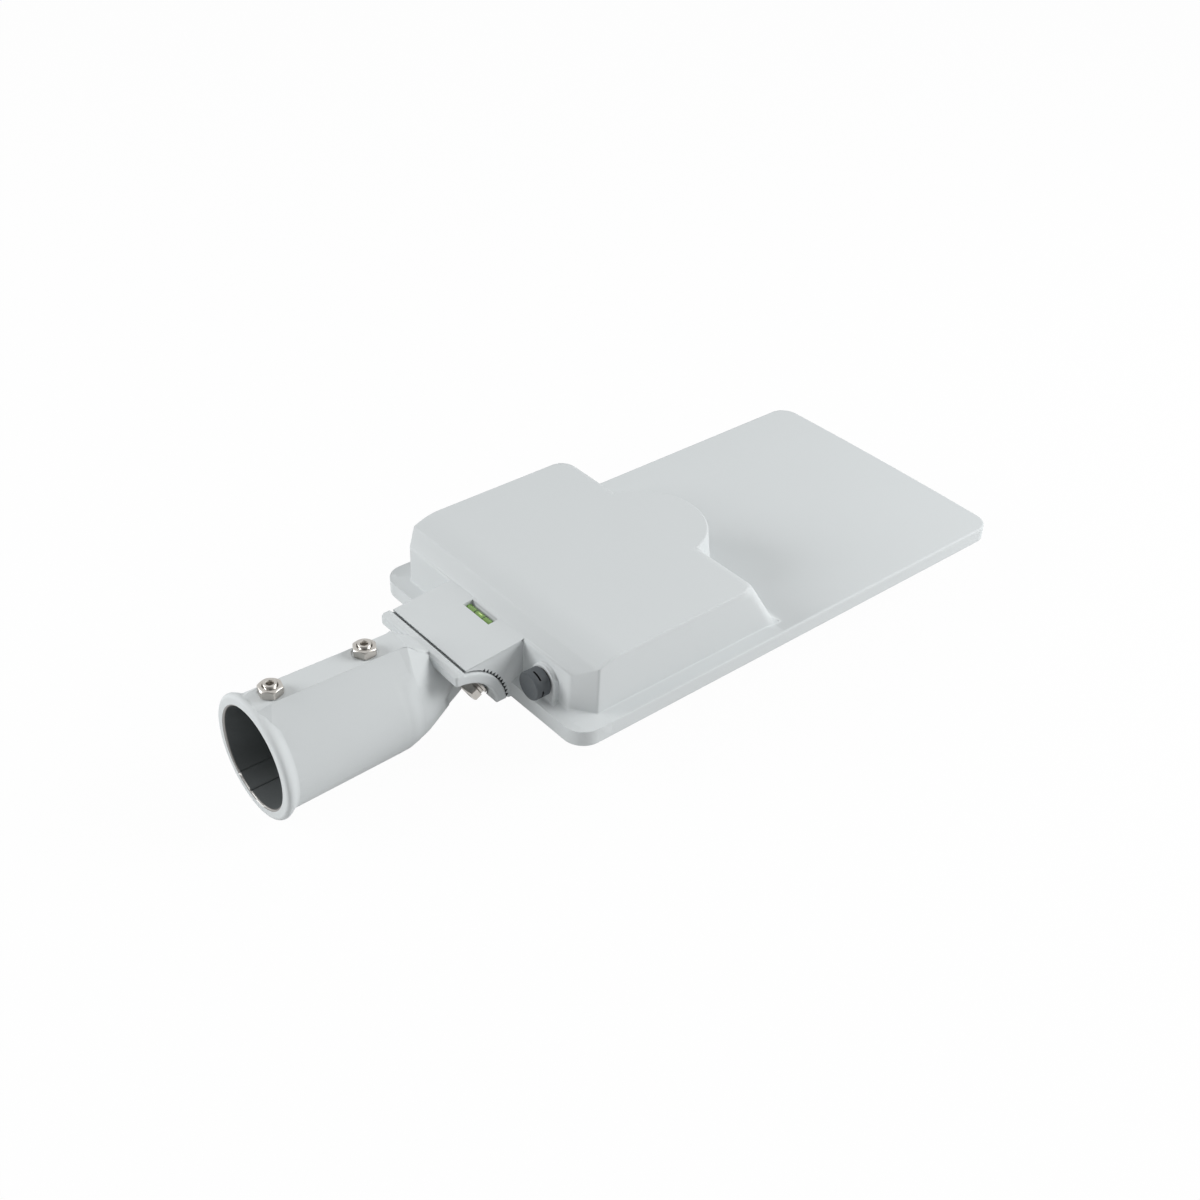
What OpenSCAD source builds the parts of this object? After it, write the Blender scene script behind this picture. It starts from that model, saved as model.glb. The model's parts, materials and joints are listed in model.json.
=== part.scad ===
// Side-entry LED street light on a tilting spigot. All sizes are in millimetres.
// The origin is on the spigot's axis where the true bore begins.
// +X runs from the pole towards the lamp's tip, +Z is up and the lamp shines down.

/* [Spigot tube] */
// Bore that slides over the pole
bore_d = 62; // [58:0.5:64]
// Wall of the tube at the mouth
tube_wall = 4.2; // [4:0.1:5.5]
// How much slimmer the tube is at the neck, on the radius
tube_draft = 2; // [0.5:0.1:2.2]
// Length of the true bore, from the mouth's chamfer to the stop
bore_len = 88; // [84:1:90]
// Chamfer at the bore's mouth
mouth_chamfer = 1.2; // [0.6:0.1:2]
// Width of the rolled lip at the mouth
lip_w = 8; // [6:0.5:9]
// Rise of the lip above the tube
lip_rise = 3; // [2:0.5:4]
// Width of the thick strip along the top for the set screws
flat_w = 16; // [16:0.5:20]
// Rise of the strip above the tube
flat_rise = 4.2; // [3:0.1:5]
// Step at the strip's edges
flat_step = 0.5; // [0.3:0.1:1]
// Place where the strip turns down towards the saddle
ramp_x = 97; // [95:0.5:100]
// How much wider the strip is at the saddle, on each side
ramp_flare = 2.7; // [1:0.1:4]
// Place of the first set screw behind the mouth
first_screw_x = 14.5; // [14.5:0.5:20]
// Distance between the two set screws
screw_pitch = 60; // [50:1:66]
// Width of the two draw marks along the bore
draw_mark_w = 1; // [0.6:0.1:1.4]

/* [Set screws and lock nuts] */
// Thread diameter of the set screws, the lock nuts and the clamp bolts
bolt_d = 8; // [7:0.5:8.5]
// Hexagon of nuts and bolts, across flats
hex_af = 13; // [12:0.5:14]
// Height of a lock nut
nut_h = 5.8; // [5:0.1:8]
// How far a set screw stands out of its nut
screw_proud = 1.5; // [0.8:0.1:3]
// Hexagon socket of a set screw, across flats
socket_af = 4; // [3:0.5:4.5]
// Depth of the hexagon socket
socket_depth = 4.5; // [3:0.5:5]

/* [Tilt saddle] */
// Distance from the bore's start to the tilt axis
pivot_x = 111; // [110:0.5:116]
// Depth of the tilt axis below the spigot's axis
pivot_drop = 9.4; // [9:0.1:11]
// Outer radius of the curved saddle plate
saddle_r = 35; // [34.5:0.1:36]
// Thickness of the saddle plate
saddle_t = 7; // [6:0.2:8]
// Width of the saddle plate across the lamp
saddle_w = 76; // [74:1:80]
// Distance of the saddle's flat lower end above the tilt axis
saddle_foot = 2.8; // [2:0.2:4]
// Smooth margin at each end of the teeth
tooth_margin = 5; // [4:0.5:7]
// Step of the teeth, which is one step of tilt
tooth_step = 5; // [5:0.5:7.5]
// Height of a tooth
tooth_h = 2.2; // [1.4:0.1:2.4]
// Upper end of the toothed arc, measured from the horizontal
tooth_top = 60; // [55:5:65]
// Gap between the released tooth tips
run_gap = 0.3; // [0.25:0.05:0.5]
// Gap between the saddle and the tongue behind the teeth
under_gap = 0.8; // [0.6:0.1:1.2]
// How far the saddle plate reaches behind the tilt axis
saddle_back = 1.2; // [0.5:0.1:2]
// Rise of the stop rib above the saddle plate
rib_rise = 1.4; // [1:0.1:1.8]
// Thickness of the stop rib
rib_t = 6.6; // [6:0.2:8]
// Chamfer along the stop rib's rear edge
rib_edge = 1.6; // [0.8:0.1:2]
// Gap between the stop rib and the tongue
rib_gap = 1; // [0.8:0.1:1.5]
// Largest tilt, nose down
tilt_max = 15; // [10:5:15]

/* [Clamp bolts] */
// Distance of each clamp bolt from the middle
clamp_y = 25; // [24:0.5:26]
// Angle of the clamp bolts above the horizontal
clamp_angle = 30; // [28:1:32]
// Thickness of the flat washer
washer_t = 1.6; // [1.2:0.1:2]
// Outer diameter of the flat washer
washer_od = 16; // [15:0.5:17]
// Thickness of the spring washer
spring_washer_t = 2; // [1.5:0.1:2.2]
// Height of a bolt's head
bolt_head_h = 5.3; // [4.5:0.1:5.5]
// Room round the washer in the flank of the neck
head_room = 0.6; // [0.5:0.1:1.5]
// Depth of thread in the lamp's saddle block
clamp_grip = 14; // [10:1:15]

/* [Cable way] */
// Cable way through the neck of the spigot
cable_way_d = 18; // [14:1:19]
// Cable hole through the saddle
cable_hole_d = 12; // [10:0.5:13]
// Thread diameter of the cable gland
gland_thread_d = 16; // [15:0.5:18]
// Hexagon of the gland's body, across flats
gland_af = 22; // [21:0.5:24]
// Hole through the gland's nut for the cable
gland_hole_d = 9.2; // [8:0.2:10]
// Wall of the gland's rubber seal
gland_seal_t = 1.4; // [1:0.1:1.6]

/* [Lamp body] */
// Distance from the tilt axis to the rear edge of the lamp's base plate
head_back = 39; // [38.5:0.1:40]
// Height of the base plate's underside above the tilt axis
head_rise = 1.6; // [1.2:0.1:2]
// Length of the base plate
head_len = 367; // [340:1:400]
// Width of the base plate
head_w = 200; // [196:1:230]
// Thickness of the base plate
plate_t = 10.7; // [10:0.1:13]
// Bow of the front edge
front_bow = 1.2; // [0.5:0.1:3]
// Corner radius at the front
front_corner_r = 13; // [8:1:16]
// Corner radius at the rear
rear_corner_r = 14; // [10:1:16]
// Ledge of the base plate left on each side of the gear housing
side_ledge = 9; // [7:0.5:12]
// Slope of the ledges beside the side walls
side_slope = 0.2; // [0.1:0.01:0.25]
// Slope of the ledge behind the rear wall
rear_slope = 0.365; // [0.2:0.005:0.4]
// Height of the gear housing above the plate's underside
gear_h = 48.9; // [47:0.1:56]
// Height of the gear housing at its rear edge
rear_h = 38.3; // [38:0.1:40]
// Rear wall of the gear housing, measured from the plate's rear edge
rear_wall_x = 8.5; // [8:0.5:12]
// Length of the roll from the rear edge up to the top
roll_len = 30; // [24:1:36]
// Chamfer of the two rear corners
rear_chamfer = 12; // [8:0.5:14]
// Start of the rounded nose of the gear housing
nose_x = 138; // [136:0.5:145]
// Radius where the top turns down into the nose
nose_top_r = 9; // [7:0.5:12]
// Angle of the nose below the horizontal
nose_angle = 57; // [50:1:62]
// Radius of the fillet at the nose's foot
nose_foot_r = 8; // [4:0.5:10]
// Radius of the round dome in front of the gear housing
dome_r = 40; // [30:1:44]
// Distance from the dome's centre to the start of the nose
dome_back = 4; // [2:0.5:8]
// Draft of the dome at its foot
dome_draft = 4; // [2:0.5:6]
// Radius of the fillet at the dome's foot
dome_foot_r = 3; // [2:0.5:5]
// Radius of the dome's upper edge
dome_edge_r = 1.5; // [1:0.1:3]
// Distance from the start of the nose to the front wall of the gear compartment
bay_front = 14; // [12:0.5:16]
// Wall of the casting
shell_t = 3; // [2.5:0.1:3.2]
// Length of the slope where each ledge runs out onto the panel
ledge_runout = 10; // [6:1:16]

/* [Tongue] */
// Width of the tongue over the saddle
tongue_w = 73; // [70:1:74]
// Thickness of the tongue at its rear tip
tongue_tip_t = 1; // [0.8:0.1:2]
// Length of the level's window across the lamp
window_l = 25; // [22:0.5:28]
// Width of the level's window
window_w = 7; // [6:0.5:8]
// Centre of the window, measured from the plate's rear edge
window_x = 4.9; // [4.5:0.1:6]
// Distance between the two rings of the level
ring_pitch = 8; // [7:0.2:9]
// Width of a ring
ring_w = 0.7; // [0.5:0.05:1]
// Depth of a ring in the vial's wall
ring_t = 0.15; // [0.1:0.05:0.3]
// Diameter of the bubble
bubble_d = 2; // [1.6:0.1:2.4]
// Length of the bubble
bubble_l = 5.4; // [4.5:0.1:6]
// Depth of the window's pocket
window_depth = 8; // [7.5:0.1:10]

/* [Vent] */
// Outer diameter of the vent plug
vent_d = 18; // [15:0.5:19]
// Length of the vent plug outside the wall
vent_l = 10.2; // [8:0.2:12]
// Distance of the vent from the middle
vent_y = 59.6; // [56:0.2:62]
// Height of the vent above the plate's underside
vent_z = 25; // [24:0.5:26]
// How far the vent's arched pad stands out of the rear wall
vent_pad = 3.5; // [2:0.1:4.5]
// Number of vent slots round the plug
vent_slots = 4; // [3:1:6]
// Arc of a vent slot, in degrees
vent_slot_arc = 55; // [30:5:60]
// Width of a vent slot along the plug
vent_slot_w = 1.8; // [1:0.1:2.4]

/* [Gear inside] */
// Length of the driver across the lamp
driver_l = 128; // [110:1:134]
// Width of the driver along the lamp
driver_w = 58; // [50:1:60]
// Height of the driver
driver_h = 30; // [24:0.5:31]
// Space in front of the driver
driver_front = 10; // [9:0.5:12]
// Length of the driver's mounting ears
ear_l = 11; // [10:0.5:11.5]
// Width of the driver's mounting ears
ear_w = 20; // [14:1:24]
// Thickness of the driver's mounting ears
ear_t = 2; // [1.5:0.1:3]
// Height of the pads that the driver and the surge protector hang from
pad_h = 4; // [3:0.5:6]
// Height of the pads that the terminal block and the earth screw hang from
block_pad_h = 6; // [4:0.5:8]
// Length of the surge protector along the lamp
surge_l = 42; // [34:1:48]
// Width of the surge protector across the lamp
surge_w = 40; // [32:1:44]
// Height of the surge protector
surge_h = 26; // [20:0.5:28]
// Pitch of the terminals
terminal_pitch = 12; // [10:0.5:14]
// Number of terminals
terminals = 4; // [3:1:5]
// Length of the terminal block along the lamp
block_l = 24; // [20:1:28]
// Height of the terminal block
block_h = 20; // [16:0.5:22]
// Distance of these pieces from the compartment's rear wall
inside_gap = 18.5; // [17:0.5:22]
// Distance of the surge protector from the compartment's side wall
surge_side = 18; // [14:0.5:22]
// Distance of the terminal block from the compartment's side wall
block_side = 12; // [10:0.5:16]
// Length of the clamp bar that holds the cable
bar_l = 26; // [24:1:30]
// Distance between the clamp bar's screws
bar_screw_pitch = 18; // [16:1:20]
// Thread diameter of the clamp bar's screws
bar_screw_d = 3; // [2.5:0.1:3.5]

/* [Gear cover] */
// Thickness of the gear cover
cover_t = 2.5; // [2:0.1:3]
// Land round the gear compartment that the gasket seals on
land_w = 6; // [5.5:0.1:7]
// Thickness of the gaskets
gasket_t = 1.5; // [1:0.1:2]
// Thread diameter of the small screws
small_screw_d = 4; // [3.5:0.1:4.5]
// Head diameter of the small screws
small_head_d = 8; // [7:0.5:8.5]
// Head height of the small screws
small_head_h = 2.4; // [2:0.1:3]
// Depth of thread of the gear cover's screws
cover_grip = 10; // [8:0.5:12]
// Depth of thread of the inner screws
inner_grip = 5; // [4:0.5:6]

/* [Light engine] */
// Rear edge of the optical window, measured from the plate's rear edge
optic_x = 176; // [174:1:180]
// Rim left round the optical window
optic_rim = 8; // [7:0.5:10]
// Thickness of the metal left above the light engine
optic_roof = 3.2; // [2.6:0.1:3.6]
// Thickness of the circuit board
board_t = 1.6; // [1:0.1:2]
// Height of an LED package
led_h = 0.7; // [0.5:0.1:0.8]
// Side of an LED package
led_side = 3; // [2.5:0.1:3.5]
// Distance from the window's edge to the middle of the first LED
led_edge = 26; // [22:0.5:30]
// LEDs along the lamp
led_nx = 6; // [4:1:7]
// LEDs across the lamp
led_ny = 6; // [4:1:7]
// Thickness of the lens plate
lens_t = 1.8; // [1.5:0.1:2.2]
// Radius of a lens
lens_r = 9; // [8:0.5:9.5]
// How far a lens stands out of the lens plate
lens_h = 2.4; // [1.6:0.1:2.6]
// Rim of the lens plate inside the window
lens_margin = 7; // [6:0.5:8]
// Rim of the circuit board inside the window
board_margin = 9; // [8:0.5:11]
// Thickness of the frame that holds the lens plate
frame_t = 1.2; // [1:0.1:1.5]
// Thread diameter of the frame's screws
frame_screw_d = 2.5; // [2:0.1:3]
// Depth of thread of the frame's screws
frame_grip = 1.5; // [1:0.1:1.8]

/* [Hidden] */
$fn = 64;
eps = 0.05;
thread_gap = 0.05;
seat_gap = 0.1;
slot_room = 0.9;
slot_inset = 0.5;

tube_r = bore_d / 2 + tube_wall;
tube_end_r = tube_r - tube_draft;
lip_r = tube_r + lip_rise;
tube_len = bore_len + 4;
nut_seat_r = hex_af / 2 / cos(30) + 0.3;
saddle_in_r = saddle_r - saddle_t;
rib_back_x = pivot_x - saddle_back;
rib_top_z = saddle_r + rib_rise - pivot_drop;
head_x = pivot_x + head_back;
head_z = -pivot_drop + head_rise;
neck_end_r = saddle_in_r + saddle_t / 2;

tip_r = saddle_r + run_gap;
root_r = tip_r + tooth_h;
tongue_under_r = tip_r + under_gap;
clamp_seat_r = sqrt(pow(saddle_in_r - run_gap, 2) - pow(washer_od / 2, 2));
clamp_end_r = root_r + clamp_grip;

gear_w = head_w - 2 * side_ledge;
nose_turn_z = gear_h - nose_top_r * (1 - cos(nose_angle));
nose_foot_z = plate_t + nose_foot_r * (1 - cos(nose_angle));
gear_front_x = nose_x + (nose_top_r + nose_foot_r) * sin(nose_angle)
               + (nose_turn_z - nose_foot_z) / tan(nose_angle);
bay_x0 = rear_wall_x + shell_t;
bay_x1 = nose_x + bay_front;
bay_y = gear_w / 2 - shell_t;
cover_x0 = bay_x0 - land_w;
cover_x1 = bay_x1 + land_w;
cover_y = bay_y + land_w;
cover_seat = cover_t + gasket_t;
boss_r = small_screw_d / 2 + 2.6;

optic_x1 = head_len - optic_rim;
optic_y = head_w / 2 - optic_rim;
optic_top = plate_t - optic_roof;
led_z = optic_top - board_t;
lens_z = led_z - led_h - 0.2;
optic_len = optic_x1 - optic_x;
lens_pitch_x = (optic_len - 2 * led_edge) / (led_nx - 1);
lens_pitch_y = (2 * optic_y - 2 * led_edge) / (led_ny - 1);

// the level stands on the floor of its pocket
vial_r = window_w / 2 - run_gap;
vial_l = window_l - 2 * run_gap;
level_top = rear_h - (rear_wall_x - window_x) * 0.09;
vial_z = level_top - window_depth + seat_gap + vial_r;

// pieces in the gear compartment hang from its roof
roof = gear_h - shell_t;
driver_x = bay_x1 - driver_front - driver_w;
driver_z = roof - pad_h - driver_h;
surge_x = bay_x0 + inside_gap;
surge_y = bay_y - surge_side - surge_w;
surge_top = roof - pad_h;
block_x = bay_x0 + inside_gap;
block_y = block_side - bay_y;
block_w = terminals * terminal_pitch;
block_top = roof - block_pad_h;
earth_x = driver_x - 9;
earth_y = -bay_y + 38;
gland_r = gland_thread_d / 2;
gland_z = cover_seat + gland_af / 2 / cos(30) + 1;
bar_x = bay_x0 + inside_gap + 14;
bar_top = gland_z + 5;

// moves children from the lamp body's own frame, which starts at the plate's rear lower edge
module head() {
    translate([head_x, 0, head_z]) children();
}

// a cylinder along X
module rod_x(r, l, r2 = -1) {
    rotate([0, 90, 0]) cylinder(r1 = r, r2 = r2 < 0 ? r : r2, h = l);
}

// a bar along Y, centred, from an outline in X and Z
module across(w) {
    rotate([90, 0, 0]) linear_extrude(w, center = true) children();
}

// points of an arc
function arc(r, a0, a1, n) = [for (i = [0:n]) r * [cos(a0 + (a1 - a0) * i / n), sin(a0 + (a1 - a0) * i / n)]];

// a rectangle with round corners, from x0 to x1 and symmetric about Y = 0
module round_rect(x0, x1, hw, r) {
    translate([x0 + r, -hw]) square([x1 - x0 - 2 * r, 2 * hw]);
    translate([x0, -hw + r]) square([x1 - x0, 2 * hw - 2 * r]);
    for (x = [x0 + r, x1 - r], y = [-hw + r, hw - r]) translate([x, y]) circle(r);
}

// outline of the base plate, with its bowed front edge
module plate_outline() {
    mid = head_len / 2;
    round_rect(0, mid + rear_corner_r, head_w / 2, rear_corner_r);
    round_rect(mid - front_corner_r, head_len - front_bow, head_w / 2, front_corner_r);
    translate([mid - 1, -head_w / 2]) square([2, head_w]);
    hw = head_w / 2 - front_corner_r;
    polygon(concat([[mid, -hw], [mid, hw]],
                   [for (i = [12:-1:-12]) [head_len - front_bow * pow(i / 12, 2), hw * i / 12]]));
}

// lower end of the nose's outline: a fillet outside, the plain slope inside
function nose_foot(o, low) = o == 0
    ? concat([for (i = [0:6]) [gear_front_x - nose_foot_r * sin(nose_angle * (1 - i / 6)),
                               plate_t + nose_foot_r * (1 - cos(nose_angle * (1 - i / 6)))]],
             [[gear_front_x, low]])
    : [[nose_x + (nose_top_r - o) * sin(nose_angle)
        + (gear_h - nose_top_r + (nose_top_r - o) * cos(nose_angle) - low) / tan(nose_angle), low]];

// side outline of the gear housing, drawn in by o
function gear_side(o, low) = concat(
    [[rear_wall_x + o, low]],
    [for (i = [0:12]) [rear_wall_x + o + roll_len * i / 12, rear_h - o + (gear_h - rear_h) * sin(90 * i / 12)]],
    [for (i = [0:8]) [nose_x + (nose_top_r - o) * sin(nose_angle * i / 8),
                      gear_h - nose_top_r + (nose_top_r - o) * cos(nose_angle * i / 8)]],
    nose_foot(o, low));

// plan outline of the gear housing, drawn in by o
module gear_plan(o) {
    c = rear_chamfer;
    x0 = rear_wall_x + o;
    x1 = gear_front_x + 1;
    hw = gear_w / 2 - o;
    k = o * (sqrt(2) - 1);
    polygon([[x0, -hw + c - k], [x0 + c - k, -hw], [x1, -hw], [x1, hw], [x0 + c - k, hw], [x0, hw - c + k]]);
}

// outline of half the dome: foot fillet, drafted wall and rounded upper edge
function dome_side() = concat(
    [[0, plate_t - 1], [dome_r + dome_draft + dome_foot_r, plate_t - 1]],
    [for (i = [0:4]) [dome_r + dome_draft + dome_foot_r * (1 - sin(90 * i / 4)),
                      plate_t + dome_foot_r * (1 - cos(90 * i / 4))]],
    [for (i = [0:4]) [dome_r - dome_edge_r * (1 - cos(90 * i / 4)), gear_h - dome_edge_r * (1 - sin(90 * i / 4))]],
    [[0, gear_h]]);

module gear_body() {
    intersection() {
        across(head_w) polygon(gear_side(0, 1));
        linear_extrude(gear_h + 1) gear_plan(0);
    }
    intersection() {
        translate([nose_x - dome_back, 0, 0]) rotate_extrude($fn = 96) polygon(dome_side());
        translate([nose_x - 2, -dome_r * 2, 0]) cube([dome_r * 2, dome_r * 4, gear_h + 1]);
    }
}

// the ledges beside and behind the gear housing, which slope outwards and run out onto the panel
module ledges() {
    hw = head_w / 2;
    in = 2 * side_ledge;
    crest = plate_t + side_slope * in;
    x0 = side_slope * in / rear_slope;
    x1 = nose_x + nose_top_r + nose_foot_r;
    corner_slope = rear_slope + 0.04;
    cone_r = rear_corner_r - 0.3;
    difference() {
        intersection() {
            across(head_w + 2) polygon([[0, 0], [0, plate_t], [x0, crest], [x1 - 20, crest],
                                        [x1, plate_t + side_slope * side_ledge],
                                        [x1 + ledge_runout, plate_t - 0.2], [x1 + ledge_runout, 0]]);
            rotate([90, 0, 90]) linear_extrude(head_len) polygon(
                [[-hw, plate_t - 1], [-hw, plate_t], [in - hw, crest], [hw - in, crest],
                 [hw, plate_t], [hw, plate_t - 1]]);
            linear_extrude(gear_h) difference() {
                plate_outline();
                translate([rear_wall_x + rear_chamfer + 5, 1 - gear_w / 2]) square([head_len, gear_w - 2]);
            }
        }
        // the slopes meet in a cone round each rear corner
        for (s = [-1, 1]) translate([rear_corner_r, s * (hw - rear_corner_r), plate_t]) difference() {
            translate([-rear_corner_r - 1, s > 0 ? 0 : -rear_corner_r - 1, 0])
                cube([rear_corner_r + 1, rear_corner_r + 1, rear_corner_r]);
            translate([0, 0, -1]) cylinder(r1 = cone_r + 1 / corner_slope, r2 = 0, h = cone_r * corner_slope + 1);
        }
    }
}

// one tooth space, as a wedge that points outwards from the tilt axis
module tooth_space(r0, r1, w) {
    half = r0 * sin(tooth_step / 2) * 1.2;
    across(w) polygon([[r0 - 0.6, -half], [r1, 0], [r0 - 0.6, half]]);
}

// everything about the tilt axis, in the frame of the lamp body
module at_pivot() {
    translate([-head_back, 0, -head_rise]) children();
}

// outer form of the tongue and of the saddle block under it
module tongue_form() {
    tip_x = rib_front_x() + rib_gap;
    tip_z = sqrt(pow(tongue_under_r, 2) - pow(tip_x + head_back, 2)) - head_rise + tongue_tip_t;
    across(tongue_w) polygon([[tip_x, tip_z], [rear_wall_x, rear_h], [bay_x0 + 2, rear_h],
                              [bay_x0 + 2, 0], [-head_back + tip_r * 0.6, 0],
                              [-head_back + tip_r * 0.6, tip_z / 2], [tip_x, tip_z / 2]]);
}

// front face of the stop rib, in the frame of the lamp body
function rib_front_x() = rib_t - saddle_back - head_back;

// the cut that lets the tongue ride on the saddle
module saddle_cut() {
    at_pivot() {
        rotate([90, 0, 0]) cylinder(r = tip_r, h = saddle_w + 4, center = true, $fn = 128);
        for (a = [tooth_step / 2:tooth_step:tooth_top]) rotate([0, -a, 0])
            tooth_space(tip_r, root_r, saddle_w + 4);
        across(saddle_w + 4) polygon(concat([[0, 0]], arc(tongue_under_r, tooth_top, 120, 24)));
    }
}

// radial hole or pin at an angle about the tilt axis
module radial(a, y, r0, r1, r) {
    translate([0, y, 0]) rotate([0, 90 - a, 0]) translate([0, 0, r0]) cylinder(r = r, h = r1 - r0);
}

// slot round the tilt axis, from angle a0 to angle a1 and from radius k0 to radius k1
module radial_slot(a0, a1, y, r, k0, k1) {
    for (a = [a0, a1]) radial(a, y, k0, k1, r);
    translate([0, y, 0]) across(2 * (r - slot_inset))
        polygon([for (k = [[k1, a0], [k1 * 1.02, (a0 + a1) / 2], [k1, a1], [k0 + 1, a1], [k0 + 1, a0]])
                 k[0] * [cos(k[1]), sin(k[1])]]);
}

// square pocket round the tilt axis, from angle a0 to angle a1 and from radius k0 to radius k1
module radial_pocket(a0, a1, y, r, k0, k1) {
    translate([0, y, 0]) across(2 * r) polygon([for (k = [[k0, a0, -r], [k1, a0, -r], [k1, a1, r], [k0, a1, r]])
        k[0] * [cos(k[1]), sin(k[1])] + k[2] * [-sin(k[1]), cos(k[1])]]);
}

// height of the strip's top at a place along the tube
function strip_z(x) = tube_r + flat_rise - tube_draft * x / tube_len;

// section of the thick top of the tube, whose flanks lean against the tube
module strip_section(x, top, r) {
    lean = 37;
    foot = (r - 0.2) * [sin(lean), cos(lean)];
    translate([x, 0, 0]) rotate([90, 0, 90]) linear_extrude(0.1)
        polygon([-[foot[0], -foot[1]], [-flat_w / 2, top], [flat_w / 2, top], foot]);
}

module strip_flanks() {
    x1 = lip_w + 2;
    x2 = tube_len - 0.1;
    top = strip_z(x1) - flat_step;
    hull() {
        strip_section(lip_w / 4, lip_r - flat_step, tube_r);
        strip_section(x1, top, tube_r - tube_draft * x1 / tube_len);
    }
    hull() {
        strip_section(x1, top, tube_r - tube_draft * x1 / tube_len);
        strip_section(x2, strip_z(x2) - flat_step, tube_end_r);
    }
}

// the flat strip itself, with the ramp that carries it down to the stop rib
module strip_form() intersection() {
    across(2 * flat_w) polygon([[lip_w / 4, 0], [lip_w / 4, lip_r - flat_step], [lip_w + 2, strip_z(lip_w + 2)],
                                [ramp_x, strip_z(ramp_x)], [rib_back_x + 1, rib_top_z - 0.7],
                                [rib_back_x + 1, 0]]);
    linear_extrude(2 * lip_r) for (s = [-1, 1]) polygon(
        [[0, -s], [0, s * flat_w / 2], [ramp_x - 3, s * flat_w / 2],
         [ramp_x + 1, s * (flat_w / 2 + ramp_flare / 2)], [ramp_x + 7, s * (flat_w / 2 + ramp_flare)],
         [rib_back_x + 1, s * (flat_w / 2 + ramp_flare)], [rib_back_x + 1, -s]]);
}

module neck_form() {
    sec_x = pivot_x + 1;
    end_x = pivot_x + neck_end_r * cos(25);
    hull() {
        translate([tube_len - 1, 0, 0]) rod_x(tube_end_r - 0.2, 1, $fn = 64);
        strip_section(tube_len - 0.2, strip_z(tube_len) - flat_step, tube_end_r - 0.2);
        for (s = [-1, 1]) {
            // upper edges of the flanks, just below the strip's ramp
            translate([ramp_x, s * (flat_w / 2 + 0.8), strip_z(ramp_x) - flat_step - 0.4])
                cube([0.2, 0.4, 0.4], center = true);
            translate([rib_back_x, s * (flat_w / 2 + ramp_flare), rib_top_z - flat_step - 0.6])
                cube([0.2, 0.4, 0.4], center = true);
            translate([sec_x - 1, s * 12, -3]) rod_x(12, 1, $fn = 48);
            translate([end_x, s * 7, -pivot_drop + 11]) rod_x(6, 1, $fn = 32);
            translate([end_x, s * 7, -pivot_drop + 14]) rod_x(4, 1, $fn = 32);
        }
    }
}

module saddle_form() translate([pivot_x, 0, -pivot_drop]) {
    intersection() {
        difference() {
            rotate([90, 0, 0]) cylinder(r = saddle_r, h = saddle_w, center = true, $fn = 128);
            rotate([90, 0, 0]) cylinder(r = saddle_in_r, h = saddle_w + 2, center = true, $fn = 128);
        }
        translate([-saddle_back, -saddle_w, saddle_foot]) cube([2 * saddle_r, 2 * saddle_w, 2 * saddle_r]);
    }
    // stop rib
    top = saddle_r + rib_rise;
    across(saddle_w) polygon([[-saddle_back, saddle_r - 6], [-saddle_back, top - rib_edge],
                              [rib_edge - saddle_back, top], [rib_t - saddle_back, top],
                              [rib_t - saddle_back, saddle_r - 6]]);
}

module spigot_casting() color("lightgray") {
    difference() {
        union() {
            rod_x(tube_r, tube_len, tube_end_r);
            // rolled lip, which runs out softly onto the tube
            translate([-mouth_chamfer, 0, 0]) rotate([0, 90, 0]) rotate_extrude()
                polygon(concat([[bore_d / 2 - 1, 0], [lip_r - 2.5, 0]],
                               [for (a = [-90:15:0]) [lip_r - 2.5 + 2.5 * cos(a), 2.5 + 2.5 * sin(a)]],
                               [for (i = [1:7]) [tube_r + lip_rise * (1 + cos(180 * i / 8)) / 2,
                                                 2.5 + (lip_w - 1) * i / 8]],
                               [[tube_r - 0.5, lip_w + 2.2], [bore_d / 2 - 1, lip_w + 2.2]]));
            strip_flanks();
            strip_form();
            difference() {
                neck_form();
                // room for the clamp bolts' heads
                for (s = [-1, 1]) translate([pivot_x, 0, -pivot_drop])
                    radial_pocket(clamp_angle - tilt_max, clamp_angle, s * clamp_y, washer_od / 2 + head_room,
                                  saddle_in_r / 4, saddle_in_r + 1);
            }
            saddle_form();
        }
        // level seats of the lock nuts
        for (i = [0, 1]) translate([screw_x(i), 0, nut_z(i)]) cylinder(r = nut_seat_r, h = lip_r);
        translate([-mouth_chamfer - 1, 0, 0]) rod_x(bore_d / 2, bore_len + mouth_chamfer + 1, $fn = 128);
        translate([-mouth_chamfer, 0, 0])
            rod_x(bore_d / 2 + mouth_chamfer, mouth_chamfer, bore_d / 2, $fn = 128);
        for (a = [-52, -76]) rotate([a, 0, 0]) translate([-mouth_chamfer - 1, bore_d / 2, 0])
            rod_x(draw_mark_w / 2, bore_len + mouth_chamfer, $fn = 16);
        for (i = [0, 1]) translate([screw_x(i), 0, 0])
            cylinder(r = bolt_d / 2 + thread_gap, h = lip_r + flat_rise);
        rod_x(cable_way_d / 2, pivot_x + saddle_in_r * cos(20) + 1);
        translate([pivot_x, 0, -pivot_drop]) {
            radial_slot(16, 30, 0, cable_hole_d / 2, saddle_in_r - 4, saddle_r + 4);
            for (s = [-1, 1]) radial_slot(clamp_angle - tilt_max, clamp_angle, s * clamp_y,
                                          bolt_d / 2 + slot_room, saddle_in_r - 4, saddle_r + 4);
            half = saddle_r * sin(tooth_step / 2) * 1.2;
            for (a = [tooth_step:tooth_step:tooth_top]) rotate([0, -a, 0])
                across(saddle_w - 2 * tooth_margin)
                    polygon([[saddle_r + 0.6, -half], [saddle_r - tooth_h, 0], [saddle_r + 0.6, half]]);
        }
    }
}

module hexagon(af, h) {
    cylinder(d = af / cos(30), h = h, $fn = 6);
}

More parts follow.
